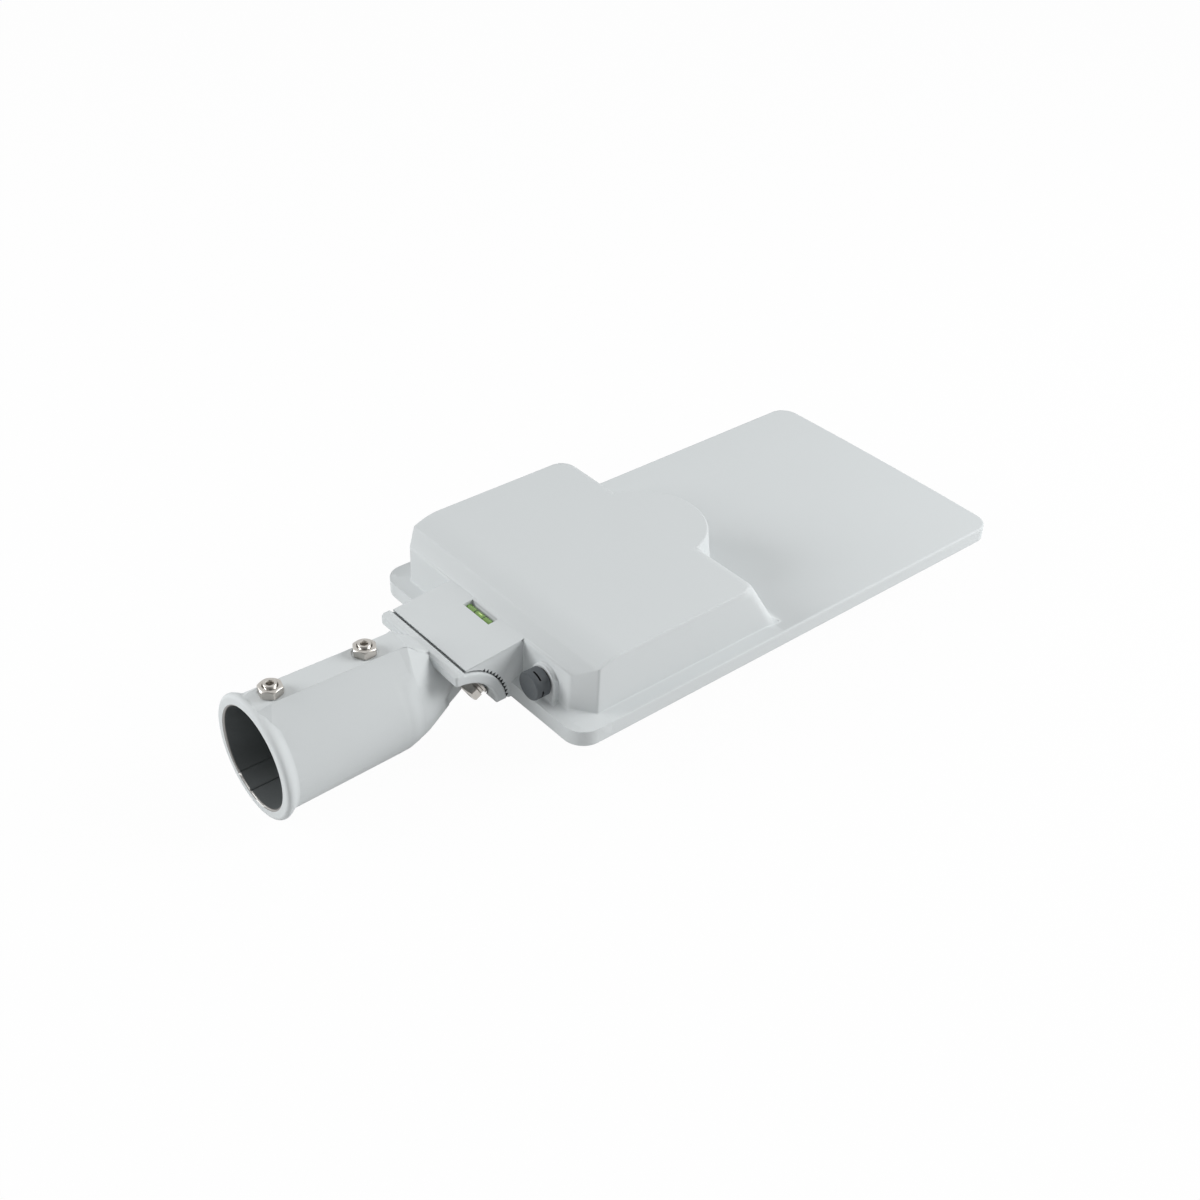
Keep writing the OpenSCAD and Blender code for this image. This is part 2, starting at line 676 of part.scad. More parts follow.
// place of a set screw along the tube, and the height of its nut's seat
function screw_x(i) = first_screw_x + i * screw_pitch;
function nut_z(i) = strip_z(screw_x(i) + nut_seat_r) - 0.1;

module set_screws() color("silver") {
    for (i = [0, 1]) translate([screw_x(i), 0, bore_d / 2 + 0.3]) {
        l = nut_z(i) + nut_h + screw_proud - bore_d / 2 - 0.3;
        difference() {
            union() {
                cylinder(r1 = bolt_d / 2 - 1.5, r2 = bolt_d / 2, h = 1.5);
                translate([0, 0, 1.5]) cylinder(d = bolt_d, h = l - 2);
                translate([0, 0, l - 0.5]) cylinder(r1 = bolt_d / 2, r2 = bolt_d / 2 - 0.5, h = 0.5);
            }
            translate([0, 0, l - socket_depth]) hexagon(socket_af, socket_depth + 1);
        }
    }
}

module lock_nuts() color("silver") {
    for (i = [0, 1]) translate([screw_x(i), 0, nut_z(i)]) difference() {
        intersection() {
            hexagon(hex_af, nut_h);
            cylinder(r1 = hex_af / 2 + nut_h * 1.7, r2 = hex_af / 2 - 0.1, h = nut_h);
            cylinder(r1 = hex_af / 2 - 0.1, r2 = hex_af / 2 + nut_h * 1.7, h = nut_h);
        }
        translate([0, 0, -1]) cylinder(r = bolt_d / 2 + thread_gap, h = nut_h + 2);
    }
}

// screw bosses of the gear cover, in the frame of the lamp body
function cover_points() = [for (x = [cover_x0 + 15, (cover_x0 + cover_x1) / 2, cover_x1 - 9], s = [-1, 1])
                           [x, s * (bay_y - boss_r + 1)]];
// screw places of the driver
function driver_points() = [for (s = [-1, 1]) [driver_x + driver_w / 2, s * (driver_l + ear_l) / 2]];
// screw places of the lens frame
function lens_points() = concat(
    [for (i = [0:3], s = [-1, 1]) [optic_x + 4 + (optic_len - 8) * i / 3, s * (optic_y - 4)]],
    [for (x = [optic_x + 4, optic_x1 - 4]) [x, 0]]);
// screw places of the cable clamp
function bar_points() = [for (s = [-1, 1]) [bar_x, s * bar_screw_pitch / 2]];

// a pad or hole on each of a list of points, from height z upwards
module posts(points, z, r, h) {
    for (p = points) translate([p[0], p[1], z]) cylinder(r = r, h = h);
}

module housing() color("lightgray") head() difference() {
    union() {
        difference() {
            union() {
                linear_extrude(plate_t) plate_outline();
                gear_body();
                ledges();
                tongue_form();
                translate([rear_wall_x - vent_pad, -vent_y, vent_z]) {
                    rod_x(vent_d / 2 + 1.2, vent_pad + 1);
                    translate([0, -vent_d / 2 - 1.2, -vent_z + plate_t - 1])
                        cube([vent_pad + 1, vent_d + 2.4, vent_z - plate_t + 1]);
                }
            }
            // gear compartment
            intersection() {
                across(head_w) polygon(gear_side(shell_t, -1));
                translate([0, 0, -1]) linear_extrude(gear_h + 2) gear_plan(shell_t);
                translate([bay_x0, -bay_y, -1]) cube([bay_x1 - bay_x0, 2 * bay_y, gear_h + 2]);
            }
            // cover seat
            translate([0, 0, -1]) linear_extrude(cover_seat + 1) round_rect(cover_x0, cover_x1, cover_y, 8);
            // light engine recess
            translate([0, 0, -1]) linear_extrude(optic_top + 1) round_rect(optic_x, optic_x1, optic_y, 6);
            // wire way from the gear compartment to the light engine
            translate([bay_x1 - 2, 0, cover_seat + 2.2]) rod_x(2, optic_x - bay_x1 + 4);
        }
        intersection() {
            union() {
                posts(cover_points(), cover_seat, boss_r, gear_h);
                posts(driver_points(), driver_z + driver_h, boss_r, gear_h);
                posts([[surge_x + surge_l / 2, surge_y + surge_w / 2]], surge_top, 6, gear_h);
                posts([[block_x + block_l / 2, block_y + block_w / 2]], block_top, 6, gear_h);
                posts(bar_points(), bar_top, 4, gear_h);
                posts([[earth_x, earth_y]], block_top, 4.5, gear_h);
            }
            across(head_w) polygon(gear_side(1, 1));
            linear_extrude(gear_h + 1) gear_plan(1);
        }
    }
    saddle_cut();
    screw_r = small_screw_d / 2 + thread_gap;
    posts(cover_points(), 0, screw_r, cover_seat + cover_grip + 2);
    posts(driver_points(), driver_z, screw_r, driver_h + inner_grip + 0.5);
    posts(bar_points(), bar_top - 1, bar_screw_d / 2 + thread_gap, inner_grip + 2);
    posts([[earth_x, earth_y]], block_top - 1, screw_r, inner_grip + 2);
    posts(lens_points(), 0, frame_screw_d / 2 + thread_gap, optic_top + frame_grip + 0.2);
    // clamp bolt threads and the cable's way in
    at_pivot() for (s = [-1, 1])
        radial(clamp_angle, s * clamp_y, saddle_r, clamp_end_r + 1, bolt_d / 2 + thread_gap);
    translate([-head_back + tip_r * 0.5, 0, gland_z]) rod_x(cable_hole_d / 2, head_back + bay_x0);
    translate([bay_x0 - 3, 0, gland_z]) rod_x(gland_r + thread_gap, 20);
    // level's pocket
    translate([window_x - window_w / 2, -window_l / 2, level_top - window_depth])
        cube([window_w, window_l, 2 * window_depth]);
    // vent hole
    translate([rear_wall_x - vent_pad - 1, -vent_y, vent_z]) rod_x(5 + thread_gap, shell_t + vent_pad + 2);
}

module clamp_bolts() color("silver") head() at_pivot() for (s = [-1, 1]) {
    r0 = clamp_seat_r - washer_t - spring_washer_t - seat_gap * 2;
    radial(clamp_angle, s * clamp_y, r0, clamp_end_r, bolt_d / 2);
    translate([0, s * clamp_y, 0]) rotate([0, 90 - clamp_angle, 0]) translate([0, 0, r0 - bolt_head_h])
        intersection() {
            hexagon(hex_af, bolt_head_h);
            cylinder(r1 = hex_af / 2 - 0.1, r2 = hex_af / 2 + bolt_head_h * 1.7, h = bolt_head_h);
        }
}

module washer(a, y, r0, t, od, id) {
    difference() {
        radial(a, y, r0, r0 + t, od / 2);
        radial(a, y, r0 - 1, r0 + t + 1, id / 2);
    }
}

module clamp_washers() color("silver") head() at_pivot() for (s = [-1, 1])
    washer(clamp_angle, s * clamp_y, clamp_seat_r - washer_t, washer_t, washer_od, bolt_d + 0.4);

module clamp_spring_washers() color("gray") head() at_pivot() for (s = [-1, 1])
    washer(clamp_angle, s * clamp_y, clamp_seat_r - washer_t - spring_washer_t - seat_gap,
           spring_washer_t, hex_af, bolt_d + 0.4);

// the level in the tongue
module at_vial() {
    translate([window_x, 0, vial_z]) rotate([90, 0, 0]) children();
}

module level_vial() color("yellowgreen") head() at_vial() difference() {
    cylinder(r = vial_r, h = vial_l, center = true);
    for (s = [-1, 1]) translate([0, 0, s * ring_pitch / 2 - ring_w / 2 - eps]) difference() {
        cylinder(r = vial_r + 1, h = ring_w + 2 * eps);
        translate([0, 0, -1]) cylinder(r = vial_r - ring_t - eps, h = ring_w + 2);
    }
    translate([0, vial_r - bubble_d / 2 - 0.2, 0])
        cylinder(d = bubble_d, h = bubble_l, center = true, $fn = 24);
}

module level_rings() color("black") head() at_vial()
    for (s = [-1, 1]) translate([0, 0, s * ring_pitch / 2 - ring_w / 2]) difference() {
        cylinder(r = vial_r, h = ring_w);
        translate([0, 0, -1]) cylinder(r = vial_r - ring_t, h = ring_w + 2);
    }

module level_bubble() color("honeydew") head() at_vial() translate([0, vial_r - bubble_d / 2 - 0.2, 0])
    cylinder(d = bubble_d - 2 * eps, h = bubble_l - 2 * seat_gap, center = true, $fn = 24);

module vent_plug() color("dimgray") head() translate([rear_wall_x - vent_pad - seat_gap, -vent_y, vent_z])
    mirror([1, 0, 0]) difference() {
        union() {
            translate([0.8, 0, 0]) rod_x(vent_d / 2, vent_l - 2);
            translate([vent_l - 1.2, 0, 0]) rod_x(vent_d / 2, 1.2, vent_d / 2 - 1.2);
            translate([-shell_t - vent_pad + 0.4, 0, 0]) rod_x(5, shell_t + vent_pad + 1);
        }
        for (i = [0:vent_slots - 1]) rotate([i * 360 / vent_slots, 0, 0]) translate([vent_l * 0.4, 0, 0])
            rotate([90, 0, 90]) linear_extrude(vent_slot_w) difference() {
                polygon([[0, 0], for (s = [-1, 1]) vent_d * [cos(s * vent_slot_arc / 2), sin(s * vent_slot_arc / 2)]]);
                circle(vent_d / 2 - 1.6);
            }
        translate([-shell_t - vent_pad, 0, 0]) rod_x(2.5, shell_t + vent_pad + vent_l - 2.5);
    }

module vent_seal() color("black") head() translate([rear_wall_x - vent_pad - seat_gap + 0.02, -vent_y, vent_z])
    mirror([1, 0, 0]) difference() {
        rod_x(vent_d / 2 - 1, 0.76);
        translate([-1, 0, 0]) rod_x(5 + thread_gap, 4);
    }

module gear_cover() color("lightgray") head() difference() {
    union() {
        linear_extrude(cover_t) round_rect(cover_x0 + 0.5, cover_x1 - 0.5, cover_y - 0.5, 7.5);
        // stiffening ribs inside
        in = 8;
        rib_w = 2;
        y1 = bay_y - in - 2 * boss_r;
        for (x = [bay_x0 + in, bay_x1 - in]) translate([x - rib_w / 2, -y1, cover_t - 1])
            cube([rib_w, 2 * y1, 3]);
        for (y = [-y1, y1]) translate([bay_x0 + in, y - rib_w / 2, cover_t - 1])
            cube([bay_x1 - bay_x0 - 2 * in, rib_w, 3]);
    }
    posts(cover_points(), -1, small_screw_d / 2 + 0.3, cover_t + 5);
}

module cover_gasket() color("dimgray") head() translate([0, 0, cover_t + eps]) difference() {
    linear_extrude(gasket_t - 2 * eps) difference() {
        round_rect(cover_x0 + 1.2, cover_x1 - 1.2, cover_y - 1.2, 7);
        round_rect(bay_x0 + 0.4, bay_x1 - 0.4, bay_y - 0.4, 5);
    }
}

// a pan-head screw that points up, with its head's top face at z = 0 and a cross recess
module pan_screw(d, head_d, head_h, l) {
    difference() {
        union() {
            cylinder(r1 = head_d / 2 - 0.8, r2 = head_d / 2, h = 0.8);
            translate([0, 0, 0.8]) cylinder(d = head_d, h = head_h - 0.8);
            cylinder(d = d, h = head_h + l);
        }
        for (a = [0, 90]) rotate(a) translate([-head_d * 0.3, -0.5, -1]) cube([head_d * 0.6, 1, 2.2]);
    }
}

module cover_screws() color("silver") head() for (p = cover_points())
    translate([p[0], p[1], -small_head_h])
        pan_screw(small_screw_d, small_head_d, small_head_h, cover_seat + cover_grip);

module led_board() color("white") head() translate([0, 0, led_z]) linear_extrude(board_t - eps)
    round_rect(optic_x + board_margin, optic_x1 - board_margin, optic_y - board_margin, 3);

function led_at(i, j) = [optic_x + led_edge + i * lens_pitch_x, -optic_y + led_edge + j * lens_pitch_y];

module led_packages() color("khaki") head() for (i = [0:led_nx - 1], j = [0:led_ny - 1]) {
    p = led_at(i, j);
    translate([p[0] - led_side / 2, p[1] - led_side / 2, led_z - led_h])
        cube([led_side, led_side, led_h - eps]);
}

module lens_plate() color("white", 0.6) head() translate([0, 0, lens_z - lens_t]) {
    ball = (lens_r * lens_r + lens_h * lens_h) / (2 * lens_h);
    linear_extrude(lens_t) round_rect(optic_x + lens_margin, optic_x1 - lens_margin, optic_y - lens_margin, 4);
    for (i = [0:led_nx - 1], j = [0:led_ny - 1]) translate(led_at(i, j)) intersection() {
        translate([0, 0, ball - lens_h]) sphere(ball, $fn = 48);
        translate([0, 0, -lens_h - 1]) cylinder(r = lens_r, h = lens_h + 1.5);
    }
}

module lens_gasket() color("whitesmoke") head() translate([0, 0, lens_z - lens_t]) difference() {
    inner = lens_margin - seat_gap;
    linear_extrude(optic_top - lens_z + lens_t - eps) difference() {
        round_rect(optic_x + 0.6, optic_x1 - 0.6, optic_y - 0.6, 5.4);
        round_rect(optic_x + inner, optic_x1 - inner, optic_y - inner, 4.1);
    }
    posts(lens_points(), -1, frame_screw_d / 2 + 0.3, 12);
}

module lens_frame() color("lightgray") head() translate([0, 0, lens_z - lens_t - frame_t - eps]) difference() {
    inner = lens_margin + 4;
    linear_extrude(frame_t) difference() {
        round_rect(optic_x + 0.4, optic_x1 - 0.4, optic_y - 0.4, 5.6);
        round_rect(optic_x + inner, optic_x1 - inner, optic_y - inner, 3);
    }
    posts(lens_points(), -1, frame_screw_d / 2 + 0.3, 6);
}

// each screw of the lens frame hangs with its head just under the frame
module lens_screws() color("silver") head() {
    head_h = 1.1;
    head_z = lens_z - lens_t - frame_t - 2 * eps - head_h;
    for (p = lens_points()) translate([p[0], p[1], head_z])
        pan_screw(frame_screw_d, 2 * frame_screw_d, head_h, optic_top + frame_grip - head_z - head_h);
}

module driver() color("whitesmoke") head() difference() {
    union() {
        translate([driver_x, -driver_l / 2, driver_z]) cube([driver_w, driver_l, driver_h - eps]);
        translate([driver_x + (driver_w - ear_w) / 2, -driver_l / 2 - ear_l, driver_z + driver_h - ear_t])
            cube([ear_w, driver_l + 2 * ear_l, ear_t - eps]);
    }
    posts(driver_points(), driver_z, small_screw_d / 2 + 0.3, 2 * driver_h);
}

module driver_screws() color("silver") head() for (p = driver_points())
    translate([p[0], p[1], driver_z + driver_h - ear_t - small_head_h])
        pan_screw(small_screw_d, small_head_d, small_head_h, ear_t + inner_grip);

module surge_protector() color("dimgray") head()
    translate([surge_x, surge_y, surge_top - surge_h - eps]) difference() {
        cube([surge_l, surge_w, surge_h]);
        // wire holes
        for (i = [-1:1]) translate([surge_l / 2, surge_w / 2 + terminal_pitch * i, -1]) cylinder(d = 4, h = 4);
    }

module terminal_block() color("white") head()
    translate([block_x, block_y, block_top - block_h - eps]) difference() {
        cube([block_l, block_w, block_h]);
        for (i = [0:terminals - 1]) translate([0, terminal_pitch * (i + 0.5), 0]) {
            translate([block_l / 2, 0, -1]) cylinder(d = 5, h = 9);
            for (x = [-1, block_l - 8]) translate([x, 0, block_h / 2 - 2]) rod_x(2.2, 9);
        }
    }

module terminal_screws() color("gold") head()
    translate([block_x + block_l / 2, block_y, block_top - block_h - eps]) for (i = [0:terminals - 1])
        translate([0, terminal_pitch * (i + 0.5), 1]) difference() {
            cylinder(d = 4.6, h = 6.9);
            translate([-2, -0.4, -1]) cube([4, 0.8, 2]);
        }

module gland_body() color("gray") head() translate([bay_x0 + seat_gap, 0, gland_z]) difference() {
    union() {
        translate([-shell_t, 0, 0]) rod_x(gland_r, shell_t + 12);
        rotate([0, 90, 0]) hexagon(gland_af, 4);
    }
    translate([-shell_t - 1, 0, 0]) rod_x(gland_r - 2.5, 30);
}

module gland_seal() color("black") head() translate([bay_x0 + 6, 0, gland_z]) difference() {
    rod_x(gland_r - 2.5 - seat_gap, 6);
    translate([-1, 0, 0]) rod_x(gland_r - 2.5 - seat_gap - gland_seal_t, 20);
}

module gland_nut() color("gray") head() translate([bay_x0 + 5, 0, gland_z]) difference() {
    union() {
        rotate([0, 90, 0]) hexagon(gland_af - 2, 6);
        translate([6, 0, 0]) rod_x(gland_af / 2 - 1.4, 4, gland_hole_d / 2 + 1.9);
    }
    translate([-1, 0, 0]) rod_x(gland_r + thread_gap, 8.2);
    translate([-1, 0, 0]) rod_x(gland_hole_d / 2, 20);
}

module cable_clamp() color("white") head() difference() {
    translate([bar_x - 4, -bar_l / 2, bar_top - 5 - eps]) cube([8, bar_l, 5]);
    posts(bar_points(), bar_top - 6, bar_screw_d / 2 + 0.3, 8);
    translate([bar_x - 5, 0, bar_top - 5.5]) rod_x(3.6, 10);
}

module clamp_bar_screws() color("silver") head() {
    head_h = 2;
    for (p = bar_points()) translate([p[0], p[1], bar_top - 5 - 2 * eps - head_h])
        pan_screw(bar_screw_d, 5.6, head_h, 5 + inner_grip + 1);
}

module earth_screw() color("gold") head() translate([earth_x, earth_y, block_top - small_head_h - eps])
    pan_screw(small_screw_d, small_head_d, small_head_h, inner_grip);

spigot_casting();
set_screws();
lock_nuts();
housing();
clamp_bolts();
clamp_washers();
clamp_spring_washers();
level_vial();
level_rings();
level_bubble();
vent_plug();
vent_seal();
gear_cover();
cover_gasket();
cover_screws();
led_board();
led_packages();
lens_plate();
lens_gasket();
lens_frame();
lens_screws();
driver();
driver_screws();
surge_protector();
terminal_block();
terminal_screws();
gland_body();
gland_seal();
gland_nut();
cable_clamp();
clamp_bar_screws();
earth_screw();
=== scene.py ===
import json
import math
import bmesh
import bpy
import numpy as np
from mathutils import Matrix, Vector
from mathutils.bvhtree import BVHTree


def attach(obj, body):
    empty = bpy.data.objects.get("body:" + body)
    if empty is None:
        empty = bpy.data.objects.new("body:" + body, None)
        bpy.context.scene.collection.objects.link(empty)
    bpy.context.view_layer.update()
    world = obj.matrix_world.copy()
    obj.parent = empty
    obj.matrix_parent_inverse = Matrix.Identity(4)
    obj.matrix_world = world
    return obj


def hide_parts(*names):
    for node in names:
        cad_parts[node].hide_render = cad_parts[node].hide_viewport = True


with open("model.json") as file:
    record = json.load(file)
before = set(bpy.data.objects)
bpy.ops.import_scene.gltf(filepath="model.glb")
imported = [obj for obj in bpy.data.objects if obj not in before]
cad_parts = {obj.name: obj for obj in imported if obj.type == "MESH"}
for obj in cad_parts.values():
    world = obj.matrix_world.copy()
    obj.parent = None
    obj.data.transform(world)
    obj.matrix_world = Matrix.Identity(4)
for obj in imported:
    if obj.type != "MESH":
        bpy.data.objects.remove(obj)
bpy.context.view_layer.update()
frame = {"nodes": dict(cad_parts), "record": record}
mm = 0.001
headPlace = np.array([150.0, 0.0, -7.8])  # the lamp body's own frame, seen from the spigot's, in millimetres
tiltAxis = np.array([111.0, 0.0, -9.4])
sameSpot = {"shell": 1e-6, "copy": 2e-6, "cut": 1e-7}  # metres within which points count as one


def node(tree, kind, links=None, **settings):
    # one node with its settings, and its inputs linked or set by name or index
    made = tree.nodes.new(kind)
    for key, value in settings.items():
        setattr(made, key, value)
    for key, value in (links or {}).items():
        if isinstance(key, int):
            socket = made.inputs[key]
        else:
            socket = next(i for i in made.inputs if i.name == key and i.enabled)
        if isinstance(value, bpy.types.NodeSocket):
            tree.links.new(value, socket)
        else:
            socket.default_value = value
    return made


def maths(tree, operation, *values):
    # a sum, product or the like of sockets and numbers; gives the socket of its result
    return node(tree, "ShaderNodeMath", dict(enumerate(values)), operation=operation).outputs[0]


def objectNoise(tree, scale, detail, roughness=0.5, distortion=0.0):
    # noise that runs through a piece in its own coordinates; gives the socket of its value
    place = node(tree, "ShaderNodeTexCoord")
    links = {"Vector": place.outputs["Object"], "Scale": scale, "Detail": detail, "Roughness": roughness,
             "Distortion": distortion}
    return node(tree, "ShaderNodeTexNoise", links).outputs["Fac"]


def newSurfaceGroup(name):
    # an empty node group that takes a finish's values and puts out its colour, roughness and normal
    group = bpy.data.node_groups.new(name, "ShaderNodeTree")
    taken = {"Colour": (0.6, 0.6, 0.6, 1), "Tone Spread": 0.03, "Relief Size": 0.0006, "Relief Depth": 0.00004,
             "Base Roughness": 0.5, "Roughness Spread": 0.14}
    for label, value in taken.items():
        kind = "NodeSocketColor" if label == "Colour" else "NodeSocketFloat"
        group.interface.new_socket(name=label, in_out="INPUT", socket_type=kind).default_value = value
    for label, kind in [("Colour", "Color"), ("Roughness", "Float"), ("Normal", "Vector")]:
        group.interface.new_socket(name=label, in_out="OUTPUT", socket_type="NodeSocket" + kind)
    return group, group.nodes.new("NodeGroupInput").outputs, group.nodes.new("NodeGroupOutput").inputs


def paintSurface(group, given, out, tone, relief):
    # colour is the given one times 1 + tone spread x (tone - 0.5), roughness is the base one + roughness spread x
    # relief, and the normal comes from a bump of the relief
    gain = maths(group, "MULTIPLY_ADD", maths(group, "SUBTRACT", tone, 0.5), given["Tone Spread"], 1.0)
    tinted = node(group, "ShaderNodeVectorMath", {0: given["Colour"], "Scale": gain}, operation="SCALE")
    rough = maths(group, "MULTIPLY_ADD", relief, given["Roughness Spread"], given["Base Roughness"])
    bump = node(group, "ShaderNodeBump", {"Strength": 1.0, "Distance": given["Relief Depth"], "Height": relief})
    group.links.new(tinted.outputs[0], out["Colour"])
    group.links.new(rough, out["Roughness"])
    group.links.new(bump.outputs[0], out["Normal"])
    return group


grainForm = {"cloudScale": 14.0, "speckScale": 900.0, "speckShare": 0.35}  # scales per metre
metalForm = {"blotchScale": 350.0, "scratchBend": 2.5}


def makeSurfaceGrain():
    # fine orange peel, a faint cloudy tone and small specks, as on powder coat, moulded plastic and rubber
    group, given, out = newSurfaceGroup("surfaceGrain")
    grain = objectNoise(group, maths(group, "DIVIDE", 1.0, given["Relief Size"]), 2.0, 0.55)
    cloud = objectNoise(group, grainForm["cloudScale"], 3.0)
    speck = objectNoise(group, grainForm["speckScale"], 1.0)
    tone = node(group, "ShaderNodeMix", {0: grainForm["speckShare"], 2: cloud, 3: speck})
    return paintSurface(group, given, out, tone.outputs[0], grain)


def makeWorkedMetal():
    # fine scratches in all directions, soft blotches of tone and a slightly uneven polish
    group, given, out = newSurfaceGroup("workedMetal")
    perMetre = maths(group, "DIVIDE", 1.0, given["Relief Size"])
    scratch = objectNoise(group, perMetre, 3.0, 0.7, metalForm["scratchBend"])
    blotch = objectNoise(group, metalForm["blotchScale"], 4.0, 0.6)
    return paintSurface(group, given, out, blotch, scratch)


surfaceGrainGroup = makeSurfaceGrain()
workedMetalGroup = makeWorkedMetal()


def makeFinish(name, group, colour, values, constants):
    # a material: constants on its Principled BSDF, and a group that paints colour, roughness and normal
    material = bpy.data.materials.new(name)
    material.use_nodes = True
    tree = material.node_tree
    shader = tree.nodes["Principled BSDF"]
    for key, value in constants.items():
        shader.inputs[key].default_value = value
    labels = ("Colour", "Tone Spread", "Relief Size", "Relief Depth", "Base Roughness", "Roughness Spread")
    painted = node(tree, "ShaderNodeGroup", dict(zip(labels, ((*colour, 1), *values))), node_tree=group)
    for label, key in [("Colour", "Base Color"), ("Roughness", "Roughness"), ("Normal", "Normal")]:
        tree.links.new(painted.outputs[label], shader.inputs[key])
    return material


def makeCoated(name, colour, spread=0.03, grain=0.0006, depth=0.00004, rough=0.45, **constants):
    named = {key.replace("_", " "): value for key, value in constants.items()}
    return makeFinish(name, surfaceGrainGroup, colour, (spread, grain, depth, rough, 0.14), named)


def makeMetal(name, colour, spread=0.2, scratch=0.0003, depth=0.000008, rough=0.2):
    return makeFinish(name, workedMetalGroup, colour, (spread, scratch, depth, rough, 0.2), {"Metallic": 1.0})


finishes = {
    "cast_grey": makeCoated("castGrey", (0.610, 0.638, 0.645), rough=0.55, Specular_IOR_Level=0.2),
    "cover_grey": makeCoated("coverGrey", (0.59, 0.615, 0.62), rough=0.55, Specular_IOR_Level=0.2),
    "stainless": makeMetal("stainless", (0.50, 0.48, 0.45)),
    "zinc_steel": makeMetal("zincSteel", (0.62, 0.63, 0.64), rough=0.3),
    "brass": makeMetal("brass", (0.72, 0.52, 0.22), rough=0.25),
    "plug_grey": makeCoated("plugGrey", (0.062, 0.071, 0.078), spread=0.1, grain=0.0009, depth=0.00006,
                            rough=0.55),
    "seal_black": makeCoated("sealBlack", (0.015, 0.015, 0.016), rough=0.6),
    "silicone_grey": makeCoated("siliconeGrey", (0.40, 0.40, 0.39), spread=0.06, rough=0.55),
    "vial_green": makeCoated("vialGreen", (0.33, 0.62, 0.10), spread=0.25, grain=0.002, depth=0.0, rough=0.04,
                             Transmission_Weight=0.55, IOR=1.49, Coat_Weight=0.6, Coat_Roughness=0.03),
    "vial_marks": makeCoated("vialMarks", (0.01, 0.02, 0.005), rough=0.5),
    "bubble_clear": makeCoated("bubbleClear", (0.62, 0.80, 0.28), spread=0.1, grain=0.001, depth=0.0, rough=0.05,
                               Coat_Weight=0.5),
    "board_white": makeCoated("boardWhite", (0.78, 0.79, 0.78), grain=0.0003, rough=0.3),
    "led_yellow": makeCoated("ledYellow", (0.85, 0.62, 0.12), spread=0.15, grain=0.0003, rough=0.35),
    "lens_clear": makeCoated("lensClear", (0.95, 0.97, 0.97), spread=0.01, grain=0.003, depth=0.00001, rough=0.03,
                             Transmission_Weight=0.92, IOR=1.585),
    "driver_case": makeCoated("driverCase", (0.66, 0.67, 0.67), rough=0.4),
    "module_black": makeCoated("moduleBlack", (0.03, 0.03, 0.032), rough=0.45),
    "block_white": makeCoated("blockWhite", (0.75, 0.75, 0.73), rough=0.4),
    "gland_grey": makeCoated("glandGrey", (0.22, 0.23, 0.24), rough=0.4),
}
# bare metal made much darker than the casting: on the bore, the saddle's inside and the tooth spaces it is painted
# shade
bareCastingPaintedShade = makeCoated("bareCastingPaintedShade", (0.19, 0.205, 0.21), spread=0.25, grain=0.0012, depth=0.00006, rough=0.36,
                         Metallic=0.55)
machinedRim = makeMetal("machinedRim", (0.34, 0.335, 0.325), rough=0.4)


def darkenOutline(material, colour, start, end):
    # a bubble bends the light at its outline, where it looks dark: the painted colour gives way to another there
    tree = material.node_tree
    shader = tree.nodes["Principled BSDF"]
    painted = shader.inputs["Base Color"].links[0].from_socket
    facing = node(tree, "ShaderNodeLayerWeight", {"Blend": 0.5})
    share = node(tree, "ShaderNodeMapRange", {"Value": facing.outputs["Facing"], "From Min": start,
                                              "From Max": end})
    mix = node(tree, "ShaderNodeMix", {"Factor": share.outputs[0], "A": painted, "B": (*colour, 1)},
               data_type="RGBA")
    tree.links.new(mix.outputs["Result"], shader.inputs["Base Color"])


darkenOutline(finishes["bubble_clear"], (0.03, 0.09, 0.01), 0.5, 0.7)
print("finishes made")

materialSlots = {row["node"]: row["material_slot"] for row in frame["record"]["subparts"]}
for name, piece in frame["nodes"].items():
    piece.data.materials.clear()
    piece.data.materials.append(finishes[materialSlots[name]])


def openSkin(mesh):
    skin = bmesh.new()
    skin.from_mesh(mesh)
    return skin


def closeSkin(skin, mesh):
    # puts the edited skin back into its mesh
    skin.to_mesh(mesh)
    skin.free()


def gridFaces(rows, columns):
    # quads between neighbouring rows of a grid of points whose columns wrap round
    i = np.arange(rows - 1)[:, None]
    j = np.arange(columns)[None, :]
    k = (j + 1) % columns
    corners = [i * columns + j, i * columns + k, (i + 1) * columns + k, (i + 1) * columns + j]
    return np.stack(corners, -1).reshape(-1, 4)


def finishShading(mesh, sharpAngle):
    mesh.polygons.foreach_set("use_smooth", np.ones(len(mesh.polygons), dtype=bool))
    mesh.set_sharp_from_angle(angle=math.radians(sharpAngle))


def shellMesh(name, grids, sharpAngle=32.0):
    # closed skins from grids of points that wrap round in their columns; doubles are merged, faces turned outwards
    points, faces, start = [], [], 0
    for grid in grids:
        rows, columns = grid.shape[:2]
        points.append(grid.reshape(-1, 3))
        faces.append(gridFaces(rows, columns) + start)
        start += rows * columns
    mesh = bpy.data.meshes.new(name)
    mesh.from_pydata((np.concatenate(points) * mm).tolist(), [], np.concatenate(faces).tolist())
    skin = openSkin(mesh)
    bmesh.ops.remove_doubles(skin, verts=skin.verts, dist=sameSpot["shell"])
    bmesh.ops.dissolve_degenerate(skin, edges=skin.edges, dist=sameSpot["shell"])
    bmesh.ops.recalc_face_normals(skin, faces=skin.faces)
    closeSkin(skin, mesh)
    finishShading(mesh, sharpAngle)
    return mesh


def addPiece(name, mesh, slot, body, nodes, others=()):
    piece = bpy.data.objects.new(name, mesh)
    bpy.context.scene.collection.objects.link(piece)
    for finish in (finishes[slot], *others):
        mesh.materials.append(finish)
    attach(piece, body)
    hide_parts(*nodes)
    print("made", name, len(mesh.polygons), "faces")
    return piece


